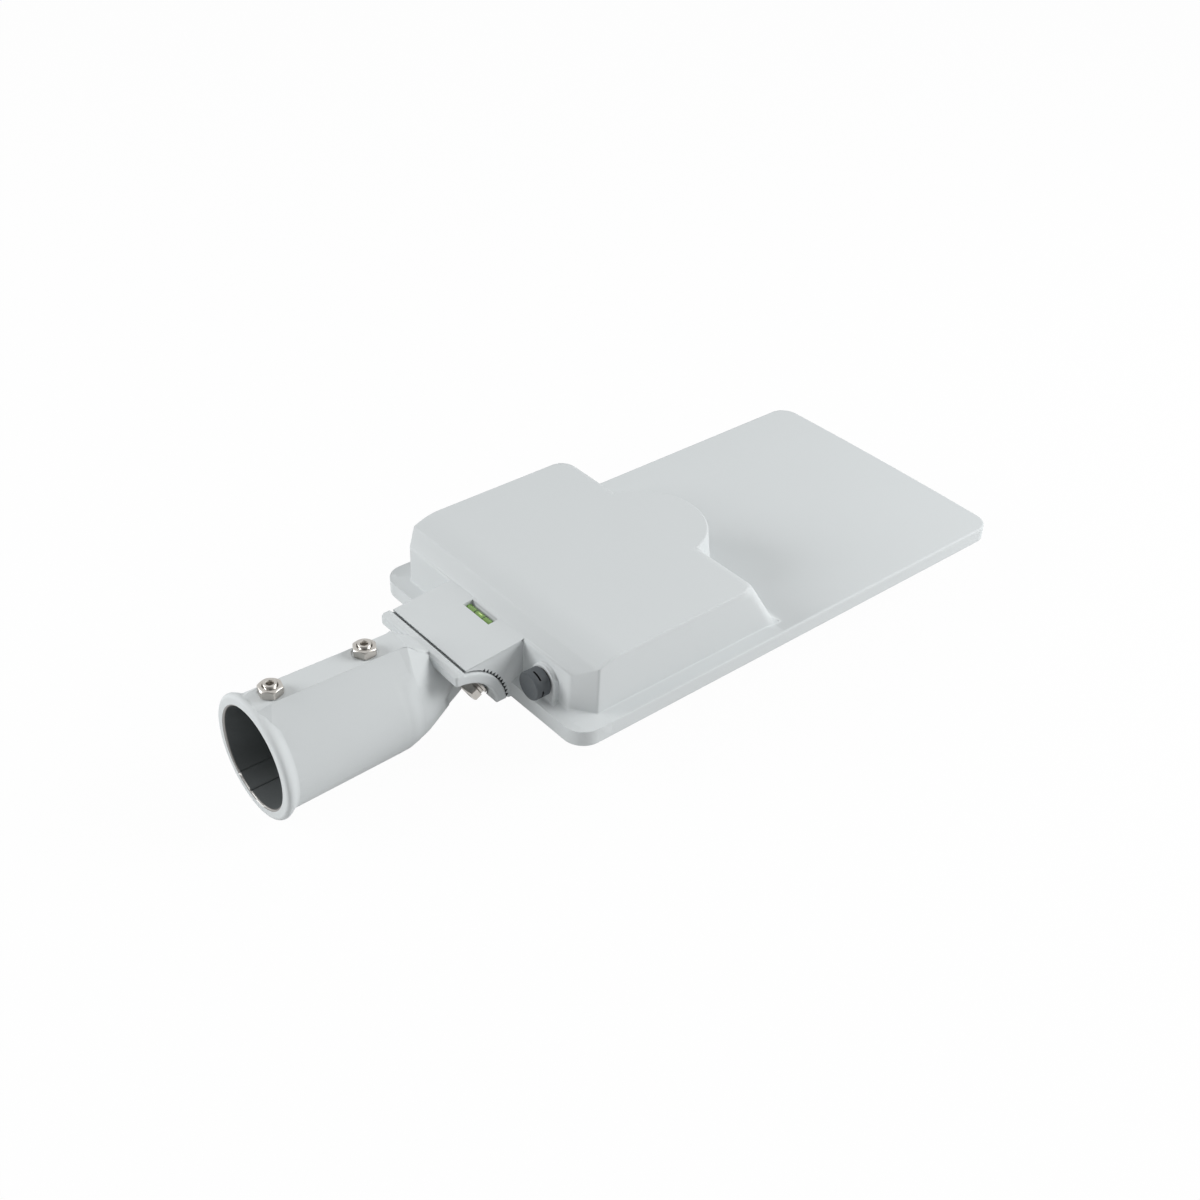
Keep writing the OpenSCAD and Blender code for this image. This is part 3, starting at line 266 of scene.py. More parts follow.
def copyOfNode(nodeName, pieceName, flatAngle=0.4):
    # the CAD node's own mesh, merged, with flat areas joined into single faces
    mesh = frame["nodes"][nodeName].data.copy()
    mesh.name = pieceName
    mesh.materials.clear()
    skin = openSkin(mesh)
    bmesh.ops.remove_doubles(skin, verts=skin.verts, dist=sameSpot["copy"])
    bmesh.ops.dissolve_limit(skin, angle_limit=math.radians(flatAngle), verts=skin.verts, edges=skin.edges,
                             delimit=set())
    closeSkin(skin, mesh)
    return mesh


def cutAcross(mesh, places):
    # new edges where a plane across the lamp cuts the mesh, so that a rounding can end there
    skin = openSkin(mesh)
    for x in places:
        bmesh.ops.bisect_plane(skin, geom=skin.verts[:] + skin.edges[:] + skin.faces[:], dist=sameSpot["cut"],
                               plane_co=(x * mm, 0, 0), plane_no=(1, 0, 0))
    closeSkin(skin, mesh)


def edgeFacts(mesh, origin):
    # middle, direction, length and signed fold angle in degrees of every edge; a fold below zero is hollow
    skin = openSkin(mesh)
    ends = np.array([[e.verts[0].co, e.verts[1].co] for e in skin.edges]) / mm - origin
    folds = np.degrees([e.calc_face_angle_signed(0.0) for e in skin.edges])
    skin.free()
    span = ends[:, 1] - ends[:, 0]
    length = np.maximum(np.linalg.norm(span, axis=1), 1e-6)
    return ends.mean(axis=1), np.abs(span / length[:, None]), length, folds


def faceCentres(mesh):
    centres = np.zeros(len(mesh.polygons) * 3)
    mesh.polygons.foreach_get("center", centres)
    return centres.reshape(-1, 3) / mm


def between(values, low, high):
    return (values > low) & (values < high)


def near(values, place, reach):
    return np.abs(values - place) < reach


def roundEdges(piece, widths, largest, segments=3):
    # a bevel whose width at each edge comes from an array in millimetres
    layer = piece.data.attributes.new("bevel_weight_edge", "FLOAT", "EDGE")
    layer.data.foreach_set("value", np.clip(widths / largest, 0, 1).astype(np.float32))
    bevel = piece.modifiers.new("rounding", "BEVEL")
    bevel.limit_method = "WEIGHT"
    bevel.offset_type = "OFFSET"
    bevel.width = largest * mm
    bevel.segments = segments
    bevel.use_clamp_overlap = False
    even = piece.modifiers.new("evenShading", "WEIGHTED_NORMAL")
    even.keep_sharp = True


platePlan = {"middle": 182.9, "halfWidth": 100.0, "rearCorner": 14.0, "frontCorner": 13.0}


def plateEdge(u, y):
    # distance of a point in plan from the outline of the base plate, below zero inside
    plan = platePlan
    corner = np.where(u < plan["middle"], plan["rearCorner"], plan["frontCorner"])
    du = np.abs(u - plan["middle"]) - (plan["middle"] - corner)
    dy = np.abs(y) - (plan["halfWidth"] - corner)
    outside = np.hypot(np.maximum(du, 0), np.maximum(dy, 0))
    return outside + np.minimum(np.maximum(du, dy), 0) - corner


# millimetres in the lamp body's frame: u along the lamp, y across and w up
noseCorner = {"radius": 8.0, "side": 91.0, "from": 128.0, "to": 174.0, "low": 12.5, "fade": 4.0, "step": 2.0,
              "levels": (15.0, 48.0, 3.0), "plateTop": 9.0, "flatTop": 48.8, "ahead": 200.0, "beside": 70.0,
              "above": 100.0}


def cutNoseCorners(mesh):
    # a net of edges over both nose corners: planes along, across and level, near the corners only
    sizes = noseCorner
    skin = openSkin(mesh)
    start, end, step = sizes["from"], sizes["to"], sizes["step"]
    inner = sizes["side"] - sizes["radius"]
    cuts = [(0, u) for u in np.arange(start, end, step)]
    cuts += [(1, y * k) for y in np.arange(inner, sizes["side"] - 0.5, step) for k in (-1, 1)]
    cuts += [(2, w) for w in np.arange(*sizes["levels"])]
    for axis, at in cuts:
        chosen = []
        for face in skin.faces:
            ends = np.array([v.co for v in face.verts]) / mm - headPlace
            low, high = ends.min(axis=0), ends.max(axis=0)
            alongside = high[0] > start - 1 and low[0] < end and (axis == 0 or low[0] > start - 3)
            raised = high[2] > sizes["low"] and low[2] > sizes["plateTop"]
            if alongside and raised and max(high[1], -low[1]) > inner - 1:
                chosen.append(face)
        parts = set(chosen) | {e for f in chosen for e in f.edges} | {v for f in chosen for v in f.verts}
        way = np.eye(3)[axis]
        bmesh.ops.bisect_plane(skin, geom=list(parts), dist=sameSpot["cut"], plane_no=way,
                               plane_co=(way * (at + headPlace[axis])) * mm)
    closeSkin(skin, mesh)


def roundNoseCorners(mesh):
    # in plan each corner is a square of side R; a point of it keeps its larger coordinate m as its distance from the
    # square's inner corner, which turns the square's outline into a quarter circle of radius R
    sizes = noseCorner
    radius, wall, low = sizes["radius"], sizes["side"], sizes["low"]
    skin = openSkin(mesh)
    solid = BVHTree.FromBMesh(skin)
    moved = []
    for vert in skin.verts:
        u, y, w = np.array(vert.co) / mm - headPlace
        if w < low or not sizes["from"] < u < sizes["to"] or abs(y) < wall - radius:
            continue
        above = solid.ray_cast(Vector((vert.co.x, vert.co.y * 0.999, sizes["above"] * mm)), Vector((0, 0, -1)))
        onTop = above[0] is not None and abs(above[0].z - vert.co.z) < 0.3 * mm
        if not onTop and abs(abs(y) - wall) > 0.1:
            continue
        level = min(w, sizes["flatTop"]) + headPlace[2]
        seenFrom = Vector((headPlace[0] + sizes["ahead"], sizes["beside"], level)) * mm
        front = solid.ray_cast(seenFrom, Vector((-1, 0, 0)))[0].x / mm - headPlace[0]
        a = min(u - front + radius, radius)
        c = min(abs(y) - wall + radius, radius)
        if a > 0 and c > 0:
            shrink = (max(a, c) / math.hypot(a, c) - 1) * min(1.0, (w - low) / sizes["fade"])
            moved.append((vert, Vector((a * shrink * mm, c * shrink * np.sign(y) * mm, 0))))
    for vert, shift in moved:
        vert.co += shift
    closeSkin(skin, mesh)


housingRounding = {"plateTop": 1.2, "plateBottom": 0.8, "gearTop": 1.0, "chamferPost": 1.0, "rearTop": 1.5,
                   "wallFoot": 0.8, "tongue": 0.6, "ventPad": 0.9}
housingPlaces = {  # where the casting's edges lie
    "plateTop": (9.0, 15.0), "plateEnd": 364.5, "plateFrom": 24.0, "plateFade": 8.0, "sideWall": 91.0,
    "upperEdges": 20.0, "noseFrom": 136.5, "noseTo": 138.0, "noseFade": 10.0, "chamfer": (8.3, 20.8),
    "chamferSum": 99.5, "rearWall": 8.5, "rearWallTop": 38.3, "tongueSide": 36.7, "tongueTip": -32.6,
    "footTop": 16.0, "footSide": (90.5, 94.0), "footEnd": 175.0, "padFace": 5.0, "padAcross": (47.0, 72.0),
    "plugHole": (-59.6, 25.0, 8.0), "teeth": (34.9, 37.8), "teethHalf": 36.4}


def housingWidths(middle, way, length, fold):
    # rounding of each edge of the casting, from where it lies and how far it folds; 0 keeps it as it is
    sizes, at = housingRounding, housingPlaces
    u, y, w = middle.T
    ay = np.abs(y)
    outline = near(plateEdge(u, y), 0, 0.5) | (u > at["plateEnd"]) & (ay < 90)
    fade = np.clip((u - at["plateFrom"]) / at["plateFade"], 0, 1)
    width = np.where(outline & between(w, *at["plateTop"]) & (fold > 20), sizes["plateTop"] * fade, 0.0)
    width[outline & (w < 0.1) & (fold > 60)] = sizes["plateBottom"]
    upper, upright = w > at["upperEdges"], way[:, 2]
    sideTop = near(ay, at["sideWall"], 0.15) & upper & (u < at["noseFrom"]) & (fold > 40) & (upright < 0.7)
    width = np.where(sideTop, sizes["gearTop"] * np.clip((at["noseTo"] - u) / at["noseFade"], 0, 1), width)
    onChamfer = between(u, *at["chamfer"]) & near(ay + u, at["chamferSum"], 0.3)
    width[onChamfer & upper & (upright < 0.5) & (fold > 30)] = sizes["gearTop"]
    width[(upright > 0.95) & (length > 8) & (fold > 20) & between(u, 8, 21) & (ay > 75)] = sizes["chamferPost"]
    rearTop = near(u, at["rearWall"], 0.1) & near(w, at["rearWallTop"], 0.2) & (ay > at["tongueSide"])
    width[rearTop & (fold > 20)] = sizes["rearTop"]
    foot = (fold < -30) & between(w, at["plateTop"][0], at["footTop"]) & (upright < 0.6) & (u < at["footEnd"])
    rearFoot = between(u, 4.5, 21) & (ay > at["tongueSide"])
    footFrom, footTo = at["footSide"]
    width[foot & (ay < footTo) & ((ay > footFrom) | rearFoot)] = sizes["wallFoot"]
    width[near(u, at["tongueTip"], 0.3) & (fold > 30) & (length > 20) & (w > 30)] = sizes["tongue"]
    holeY, holeW, holeReach = at["plugHole"]
    pad = near(u, at["padFace"], 0.1) & (fold > 60) & (np.hypot(y - holeY, w - holeW) > holeReach) & (w > 14)
    width[pad & between(ay, *at["padAcross"])] = sizes["ventPad"]
    return width


def makeHousing():
    # the casting's own copy with softened nose corners and rounded edges; its toothed faces get painted shade, a dark
    # bare-metal finish
    mesh = copyOfNode("housing", "housingBody")
    cutAcross(mesh, headPlace[0] + housingPlaces["plateFrom"] + np.array([0, 3, 6]))
    cutNoseCorners(mesh)
    width = housingWidths(*edgeFacts(mesh, headPlace))
    roundNoseCorners(mesh)
    piece = addPiece("housingBody", mesh, "cast_grey", "head", ["housing"], [bareCastingPaintedShade])
    finishShading(mesh, 38.0)
    cx, cy, cz = (faceCentres(mesh) - tiltAxis).T
    toothed = between(np.hypot(cx, cz), *housingPlaces["teeth"]) & (np.abs(cy) < housingPlaces["teethHalf"])
    # the tooth faces take the dark bare-metal finish, which paints the shade in the tooth spaces
    mesh.polygons.foreach_set("material_index", (toothed & (cz > 0) & (cx > -3)).astype(np.int32))
    roundEdges(piece, width, housingRounding["rearTop"])


spigotRounding = {"saddleEnd": 1.3, "saddleFoot": 1.3, "ribTop": 1.3, "ribUnder": 1.8}
spigotPlaces = {  # the tube's from the spigot's frame, the saddle's from the tilt axis
    "saddleHalf": 38.0, "footHeight": 2.8, "ribTop": 35.5, "ribUnder": (26.0, 29.0), "ribCorner": (-1.1, 35.0),
    "bore": 31.9, "boreEnd": 89.0, "mouth": (31.0, 32.15), "saddleInside": (32.5, 34.8), "insideHalf": 32.9}
creaseSizes = {"from": 78.0, "to": 108.0, "reach": 12.0, "cut": 1.5, "samples": 9, "ownSkin": 0.6,
               "stripFrom": 0.4, "stripTo": 0.8, "turns": 3, "tubeFrom": 20.0, "outside": 60.0, "rayLength": 45.0}


def softenCrease(mesh):
    # between two places along the tube the skin moves to the mean of its own radius over a short reach along it
    sizes = creaseSizes
    start, end, reach, samples = sizes["from"], sizes["to"], sizes["reach"], sizes["samples"]
    cutAcross(mesh, np.arange(start, end + 0.1, sizes["cut"]))
    skin = openSkin(mesh)
    solid = BVHTree.FromBMesh(skin)
    moved = []
    for vert in skin.verts:
        x, y, z = vert.co / mm
        radius = math.hypot(y, z)
        if not start < x < end or radius < sizes["tubeFrom"]:
            continue
        way = Vector((0, y, z)).normalized()
        strip = (sizes["stripTo"] - way.z) / (sizes["stripTo"] - sizes["stripFrom"])  # the flat strip stays
        fade = min(1.0, (x - start) / reach, (end - x) / reach, strip)
        if fade <= 0:
            continue
        hits = [solid.ray_cast(Vector(((x + d) * mm, 0, 0)) + way * sizes["outside"] * mm, -way,
                               sizes["rayLength"] * mm) for d in np.linspace(-reach, reach, samples) * fade]
        found = [math.hypot(hit[0].y, hit[0].z) / mm for hit in hits if hit[0]]
        if len(found) == samples and abs(found[samples // 2] - radius) <= sizes["ownSkin"]:
            moved.append((vert, Vector((x * mm, 0, 0)) + way * (sum(found) / samples * mm)))
    for vert, place in moved:
        vert.co = place
    known = {vert for vert, place in moved}
    band = [vert for vert in known if all(edge.other_vert(vert) in known for edge in vert.link_edges)]
    for turn in range(sizes["turns"]):
        bmesh.ops.smooth_vert(skin, verts=band, factor=0.5, use_axis_x=False, use_axis_y=True, use_axis_z=True)
    bmesh.ops.remove_doubles(skin, verts=skin.verts, dist=3e-5)
    bmesh.ops.dissolve_degenerate(skin, edges=skin.edges, dist=1e-5)
    closeSkin(skin, mesh)


def mergeRibCorner(mesh):
    # the tiny facets at the rib's front corner become one edge, so that the rounding runs clean
    a, b = spigotPlaces["ribCorner"]
    skin = openSkin(mesh)
    corner = [v for v in skin.verts
              if math.hypot(v.co.x / mm - tiltAxis[0] - a, v.co.z / mm - tiltAxis[2] - b) < 0.3]
    bmesh.ops.remove_doubles(skin, verts=corner, dist=0.3 * mm)
    closeSkin(skin, mesh)


def spigotWidths(middle, way, length, fold):
    # rounding of the saddle's and the rib's edges; 0 keeps an edge as it is
    sizes, at = spigotRounding, spigotPlaces
    a, y, b = middle.T
    width = np.zeros(len(a))
    atEnd = near(np.abs(y), at["saddleHalf"], 0.1) & (a > -1.3) & (np.abs(fold) > 40)
    width[atEnd & ((length > 0.8) | (a < 0))] = sizes["saddleEnd"]
    along = (way[:, 1] > 0.95) & (length > 20) & (fold > 30)
    width[along & near(b, at["footHeight"], 0.2)] = sizes["saddleFoot"]
    width[along & (b > at["ribTop"])] = sizes["ribTop"]
    width[along & (a < -1.1) & between(b, *at["ribUnder"])] = sizes["ribUnder"]
    return width


def makeSpigot():
    # the casting's own copy with a softened neck and rounded edges; the bore and the saddle's inside get painted
    # shade, a dark bare-metal finish, and the mouth is machined metal
    mesh = copyOfNode("spigot_casting", "spigotBody")
    softenCrease(mesh)
    mergeRibCorner(mesh)
    width = spigotWidths(*edgeFacts(mesh, tiltAxis))
    piece = addPiece("spigotBody", mesh, "cast_grey", "spigot", ["spigot_casting"], [bareCastingPaintedShade, machinedRim])
    finishShading(mesh, 38.0)
    at = spigotPlaces
    cx, cy, cz = faceCentres(mesh).T
    radius = np.hypot(cy, cz)
    kind = np.zeros(len(cx), dtype=np.int32)
    # the bore's faces and the saddle's inside take the dark bare-metal finish, which paints the shade that falls in
    # them
    kind[(radius < at["bore"]) & between(cx, -0.01, at["boreEnd"])] = 1
    kind[between(radius, *at["mouth"]) & between(cx, -1.15, 0)] = 2
    cx, cy, cz = (faceCentres(mesh) - tiltAxis).T
    inside = between(np.hypot(cx, cz), *at["saddleInside"]) & (np.abs(cy) < at["insideHalf"])
    kind[inside & (cx > 6)] = 1
    mesh.polygons.foreach_set("material_index", kind)
    roundEdges(piece, width, spigotRounding["ribUnder"])


makeHousing()
makeSpigot()


def turned(radii, heights, steps):
    # rows of a profile carried round the Z axis; a row's radius and height may change with the angle
    angle = np.linspace(0, 2 * np.pi, steps, endpoint=False)
    r = np.stack([np.ones(steps) * row for row in radii])
    z = np.stack([np.ones(steps) * row for row in heights])
    return np.stack([r * np.cos(angle), r * np.sin(angle), z], -1)


def hexRadius(steps, acrossFlats, cornerCut):
    # distance of a hexagon's side from its middle at each angle, with corners at angle 0, trimmed a little
    angle = np.linspace(0, 2 * np.pi, steps, endpoint=False)
    turn = np.mod(angle, np.pi / 3) - np.pi / 6
    return np.minimum(acrossFlats / 2 / np.cos(turn), acrossFlats / 2 / math.cos(np.pi / 6) - cornerCut)


def threadRadii(heights, steps, radius, pitch, depth):
    # a screw thread: the radius falls by a triangle wave of height along the axis less the turn round it
    turn = np.linspace(0, 1, steps, endpoint=False)[None, :]
    wave = np.mod(np.asarray(heights)[:, None] / pitch - turn, 1.0)
    return radius - depth * np.abs(2 * wave - 1)


nutSizes = {"places": [(14.5, 38.815), (74.5, 37.511)], "turns": [0.30, 0.02], "height": 5.8, "acrossFlats": 13.0,
            "cornerCut": 0.25, "bore": 4.05, "sink": 0.6, "faceRadius": 6.05, "slope": 0.62, "steps": 96}


def hexShoulder(steps):
    # radii and depths from a round face down a cone to a hexagon's side: the cone's depth grows with the hexagon's
    # radius past the face
    side = hexRadius(steps, nutSizes["acrossFlats"], nutSizes["cornerCut"])
    face = nutSizes["faceRadius"]
    drop = (side - face) * nutSizes["slope"]
    return [face - 0.2, face + 0.05, side - 0.12, side], [0, 0.06, drop, drop + 0.15]


def makeLockNuts():
    # a hexagon between two cones, with a bore that is sunk at both ends
    sizes = nutSizes
    steps, height, bore, sink = sizes["steps"], sizes["height"], sizes["bore"], sizes["sink"]
    radii, depths = hexShoulder(steps)
    radii = [bore, bore + sink] + radii + radii[::-1] + [bore + sink, bore, bore]
    heights = [height - sink, height] + [height - d for d in depths] + depths[::-1] + [0, sink, height - sink]
    points = turned(radii, heights, steps)
    grids = []
    for (x, z), turn in zip(sizes["places"], sizes["turns"]):
        c, s = math.cos(turn), math.sin(turn)
        grids.append(points @ np.array([[c, s, 0], [-s, c, 0], [0, 0, 1]]) + [x, 0, z])
    addPiece("lockNuts", shellMesh("lockNuts", grids, 24.0), "stainless", "spigot", ["lock_nuts"])


screwSizes = {"radius": 3.98, "pitch": 1.25, "threadDepth": 0.6, "foot": 31.3, "proud": 1.5, "socket": 4.0,
              "socketDepth": 3.4, "edge": 0.7, "tip": 2.6, "tipHeight": 1.6, "steps": 48}


def threadSteps(start, end):
    # rows along a thread, a quarter of its pitch apart
    return np.arange(start, end, screwSizes["pitch"] / 4)


def makeSetScrews():
    # a rounded end with a hexagon socket, a thread down to the tip, and a flat tip
    sizes = screwSizes
    steps, radius, edge, sunk = sizes["steps"], sizes["radius"], sizes["edge"], sizes["socketDepth"]
    socket = hexRadius(steps, sizes["socket"], 0.1)
    bend = np.linspace(0, np.pi / 2, 6)
    grids = []
    for x, seat in nutSizes["places"]:
        top = seat + nutSizes["height"] + sizes["proud"] - sizes["foot"]
        threads = threadSteps(sizes["tipHeight"], top - edge - 0.5)[::-1]
        radii = [0, socket * 0.96, socket, socket + 0.25]
        radii += [radius - edge + edge * math.sin(t) for t in bend]
        radii += [*threadRadii(threads, steps, radius, sizes["pitch"], sizes["threadDepth"]), sizes["tip"], 0]
        heights = [top - sunk - 0.6, top - sunk, top - 0.5, top - 0.1]
        heights += [top - edge + edge * math.cos(t) for t in bend] + [*threads, 0, 0]
        grids.append(turned(radii, heights, steps) + [x, 0, sizes["foot"]])
    addPiece("setScrews", shellMesh("setScrews", grids, 40.0), "stainless", "spigot", ["set_screws"])


boltSizes = {"side": 25.0, "angle": 30.0, "headFrom": 17.42, "headTo": 22.72, "end": 51.5, "radius": 3.98,
             "threadFrom": 30.0, "dish": 4.3, "dishEdge": 4.7, "dishDepth": 0.35, "point": 3.2, "steps": 96}


def alongBolt(points):
    # both clamp bolts: points whose Z runs outwards from the tilt axis, at an angle above the horizontal
    a = math.radians(boltSizes["angle"])
    turn = np.array([[math.sin(a), 0, -math.cos(a)], [0, 1, 0], [math.cos(a), 0, math.sin(a)]])
    return [points @ turn + tiltAxis + [0, side * boltSizes["side"], 0] for side in (-1, 1)]


def makeClampBolts():
    # a hexagon head with a chamfered outer face and a shallow dish, and a threaded shank
    sizes, screw = boltSizes, screwSizes
    steps, radius, low, high = sizes["steps"], sizes["radius"], sizes["headFrom"], sizes["headTo"]
    cone, depths = hexShoulder(steps)
    side, dished = cone[-1], low + sizes["dishDepth"]
    threads = threadSteps(sizes["threadFrom"], sizes["end"] - 1.2)
    radii = [0, sizes["dish"], sizes["dishEdge"]] + cone + [side, side - 0.2, radius, radius]
    radii += [*threadRadii(threads, steps, radius, screw["pitch"], screw["threadDepth"]), sizes["point"], 0]
    heights = [dished, dished, low] + [low + d for d in depths]
    heights += [high - 0.2, high, high, sizes["threadFrom"] - 0.4, *threads, sizes["end"], sizes["end"]]
    mesh = shellMesh("clampBolts", alongBolt(turned(radii, heights, steps)), 24.0)
    addPiece("clampBolts", mesh, "stainless", "head", ["clamp_bolts"])


washerSizes = {"flatFrom": 24.92, "flatTo": 26.52, "outer": 8.0, "inner": 4.2, "edge": 0.25,
               "springFrom": 22.82, "springTo": 24.82, "springOuter": 6.5, "springGap": 0.05, "springLift": 0.08}


def washerSection(outer, low, high):
    # a rectangle with cut corners
    inner, edge = washerSizes["inner"], washerSizes["edge"]
    radii = [inner + edge, outer - edge, outer, outer, outer - edge, inner + edge, inner, inner]
    return radii, [low, low, low + edge, high - edge, high, high, high - edge, low + edge]


def makeClampWashers():
    # the section carried round a full turn, its first point once more at its end
    s = washerSizes
    radii, heights = washerSection(s["outer"], s["flatFrom"], s["flatTo"])
    mesh = shellMesh("clampWashers", alongBolt(turned(radii + radii[:1], heights + heights[:1], 64)), 30.0)
    addPiece("clampWashers", mesh, "stainless", "head", ["clamp_washers"])


def makeSpringWashers():
    # the section carried round nearly a full turn, one end a little above the other
    s = washerSizes
    steps, gap, lift = 72, s["springGap"], s["springLift"]
    angle = np.linspace(gap, 2 * np.pi - gap, steps)[:, None]
    r, h = map(np.array, washerSection(s["springOuter"], s["springFrom"] + lift, s["springTo"] - lift))
    ring = np.stack([r * np.cos(angle), r * np.sin(angle), h + np.linspace(-1, 1, steps)[:, None] * lift], -1)
    caps = [np.repeat(ring[k].mean(axis=0)[None, None], len(r), 1) for k in (0, -1)]
    mesh = shellMesh("springWashers", alongBolt(np.concatenate([caps[0], ring, caps[1]])), 30.0)
    addPiece("springWashers", mesh, "stainless", "head", ["clamp_spring_washers"])


makeLockNuts()
makeSetScrews()
makeClampBolts()
makeClampWashers()
makeSpringWashers()

plugSizes = {"place": (4.9, -59.6, 25.0), "radius": 9.0, "length": 10.2, "edge": 0.7, "dishRadius": 7.0,
             "rimRadius": 7.5, "dish": 0.25, "slotFrom": 5.9, "slotTo": 7.0, "slotDepth": 1.8, "slotArc": 46.0,
             "slotTurn": 22.0, "slots": 4, "foot": 0.8, "footRadius": 7.8, "neck": 4.95, "neckEnd": -6.4,
             "steps": 120}


def makeVentPlug():
    # a turned cap; in the slots' rows the radius steps in wherever the angle lies within a slot's arc
    s = plugSizes
    steps, r, length, edge = s["steps"], s["radius"], s["length"], s["edge"]
    low, high, foot, neck = s["slotFrom"], s["slotTo"], s["foot"], s["neck"]
    turn = np.linspace(0, 360, steps, endpoint=False) - s["slotTurn"]
    pitch = 360 / s["slots"]
    inSlot = np.abs(np.mod(turn + pitch / 2, pitch) - pitch / 2) < s["slotArc"] / 2
    slotted = np.where(inSlot, r - s["slotDepth"], r)
    radii = [0, s["dishRadius"], s["rimRadius"], r - edge, r - edge * 0.3, r, r, slotted, slotted, r, r, r - 0.3,
             s["footRadius"], neck, neck, 0]
    heights = [length - s["dish"], length - s["dish"], length, length, length - edge * 0.3, length - edge,
               high + 0.02, high, low, low - 0.02, foot + 0.3, foot, foot, foot, s["neckEnd"], s["neckEnd"]]
    local = turned(radii, heights, steps)
    u, y, w = s["place"]
    points = np.stack([u - local[..., 2], y + local[..., 0], w + local[..., 1]], -1) + headPlace
    mesh = shellMesh("ventPlug", [points], 35.0)
    addPiece("ventPlug", mesh, "plug_grey", "head", ["vent_plug"], [finishes["seal_black"]])
    # the slots' inner faces take the black seal finish, which paints the shade inside the slots
    cu, cy, cw = (faceCentres(mesh) - headPlace - s["place"]).T
    deep = (np.hypot(cy, cw) < r - 0.2) & between(-cu, low - 0.03, high + 0.03)
    mesh.polygons.foreach_set("material_index", deep.astype(np.int32))


vialSizes = {"place": (4.9, 0.0, 33.276), "radius": 3.2, "length": 24.4, "round": 0.8, "ringAt": 4.0,
             "ringWidth": 0.7, "ringDepth": 0.15, "bubbleRadius": 1.0, "bubbleLength": 5.2, "steps": 64}


def alongVial(local):
    # the level lies across the lamp: its own Z becomes Y
    u, y, w = vialSizes["place"]
    return np.stack([u + local[..., 0], y + local[..., 2], w + local[..., 1]], -1) + headPlace


def makeVialTube():
    # straight sides, ends rounded by a quarter circle, two shallow grooves for the rings
    s = vialSizes
    r, half, soft, deep = s["radius"], s["length"] / 2, s["round"], s["radius"] - s["ringDepth"]
    bend = np.linspace(0, np.pi / 2, 6)
    radii = [0.0] + [r - soft + soft * math.sin(t) for t in bend]
    heights = [half] + [half - soft + soft * math.cos(t) for t in bend]
    for k in (1, -1):
        high, low = k * s["ringAt"] + s["ringWidth"] / 2, k * s["ringAt"] - s["ringWidth"] / 2
        radii += [r, deep, deep, r]
        heights += [high + 0.01, high, low, low - 0.01]
    radii += [r - soft + soft * math.cos(t) for t in bend] + [0.0]
    heights += [-half + soft - soft * math.sin(t) for t in bend] + [-half]
    mesh = shellMesh("levelVial", [alongVial(turned(radii, heights, s["steps"]))], 35.0)
    addPiece("levelVial", mesh, "vial_green", "head", ["level_vial"])


def makeVialRings():
    # a thin rectangle carried round the tube in each groove
    s = vialSizes
    inner, outer, half = s["radius"] - s["ringDepth"] + 0.01, s["radius"] + 0.02, s["ringWidth"] / 2
    rings = [alongVial(turned([inner, outer, outer, inner, inner],
                              [at - half, at - half, at + half, at + half, at - half], s["steps"]))
             for at in (s["ringAt"], -s["ringAt"])]
    addPiece("levelRings", shellMesh("levelRings", rings, 35.0), "vial_marks", "head", ["level_rings"])


def makeBubble():
    # a long drop: its radius is the root of one less the fourth power of the place along it
    s = vialSizes
    along = np.sin(np.linspace(-np.pi / 2, np.pi / 2, 25))
    width = s["bubbleRadius"] * np.sqrt(np.clip(1 - along ** 4, 0, 1))
    drop = turned(width, along * s["bubbleLength"] / 2, 32)
    drop[..., 1] += s["radius"] - s["bubbleRadius"] * 0.9
    addPiece("levelBubble", shellMesh("levelBubble", [alongVial(drop)], 60.0), "bubble_clear", "head",
             ["level_bubble"])


makeVentPlug()
makeVialTube()
makeVialRings()
makeBubble()

coverScrewSizes = {"places": [(x, s * 84.4) for x in (20.5, 81.75, 149.0) for s in (-1, 1)], "face": -2.4,
                   "headRadius": 4.0, "headHeight": 2.4, "shank": 1.98, "length": 14.0, "recess": 2.4,
                   "slot": 0.55, "depth": 1.3}
lensScrewSizes = {"places": [(180 + 175 * i / 3, s * 88.0) for i in range(4) for s in (-1, 1)]
                  + [(180.0, 0.0), (355.0, 0.0)], "face": 0.8, "headRadius": 2.5, "headHeight": 1.1, "shank": 1.22,
                  "length": 7.4, "recess": 1.4, "slot": 0.35, "depth": 0.7}
panForm = {"steps": 64, "rows": 15, "domeEdge": 0.92, "domeShare": 0.35, "domePower": 2.4, "crossWall": 0.18}


def panScrewPoints(s):
    # a domed head that looks down: its height grows with the radius, plus a cross cut with sloping walls
    form, head, wall = panForm, s["headRadius"], panForm["crossWall"]
    radius = np.concatenate([np.linspace(0, head * form["domeEdge"], form["rows"]), [head]])[:, None]
    angle = np.linspace(0, 2 * np.pi, form["steps"], endpoint=False)[None, :]
    x, y = radius * np.cos(angle), radius * np.sin(angle)
    dome = s["headHeight"] * form["domeShare"] * (radius / head) ** form["domePower"] + 0 * angle
    small, large = np.minimum(np.abs(x), np.abs(y)), np.maximum(np.abs(x), np.abs(y))
    cut = np.clip((s["slot"] - small) / wall, 0, 1) * np.clip((s["recess"] - large) / (wall * 2), 0, 1)
    face = np.stack([x, y, dome + s["depth"] * cut], -1)
    rest = turned([head, s["shank"], s["shank"], 0],
                  [s["headHeight"], s["headHeight"], s["length"], s["length"]], form["steps"])
    return np.concatenate([face, rest])


def makePanScrews(name, s, nodeName):
    points = panScrewPoints(s)
    grids = [points + headPlace + [u, y, s["face"]] for u, y in s["places"]]
    addPiece(name, shellMesh(name, grids, 40.0), "stainless", "head", [nodeName])


makePanScrews("coverScrews", coverScrewSizes, "cover_screws")
makePanScrews("lensScrews", lensScrewSizes, "lens_screws")

sheetEdges = {"coverEdge": 0.6, "coverLevel": 0.0, "frameEdge": 0.35, "frameLevel": 1.95}


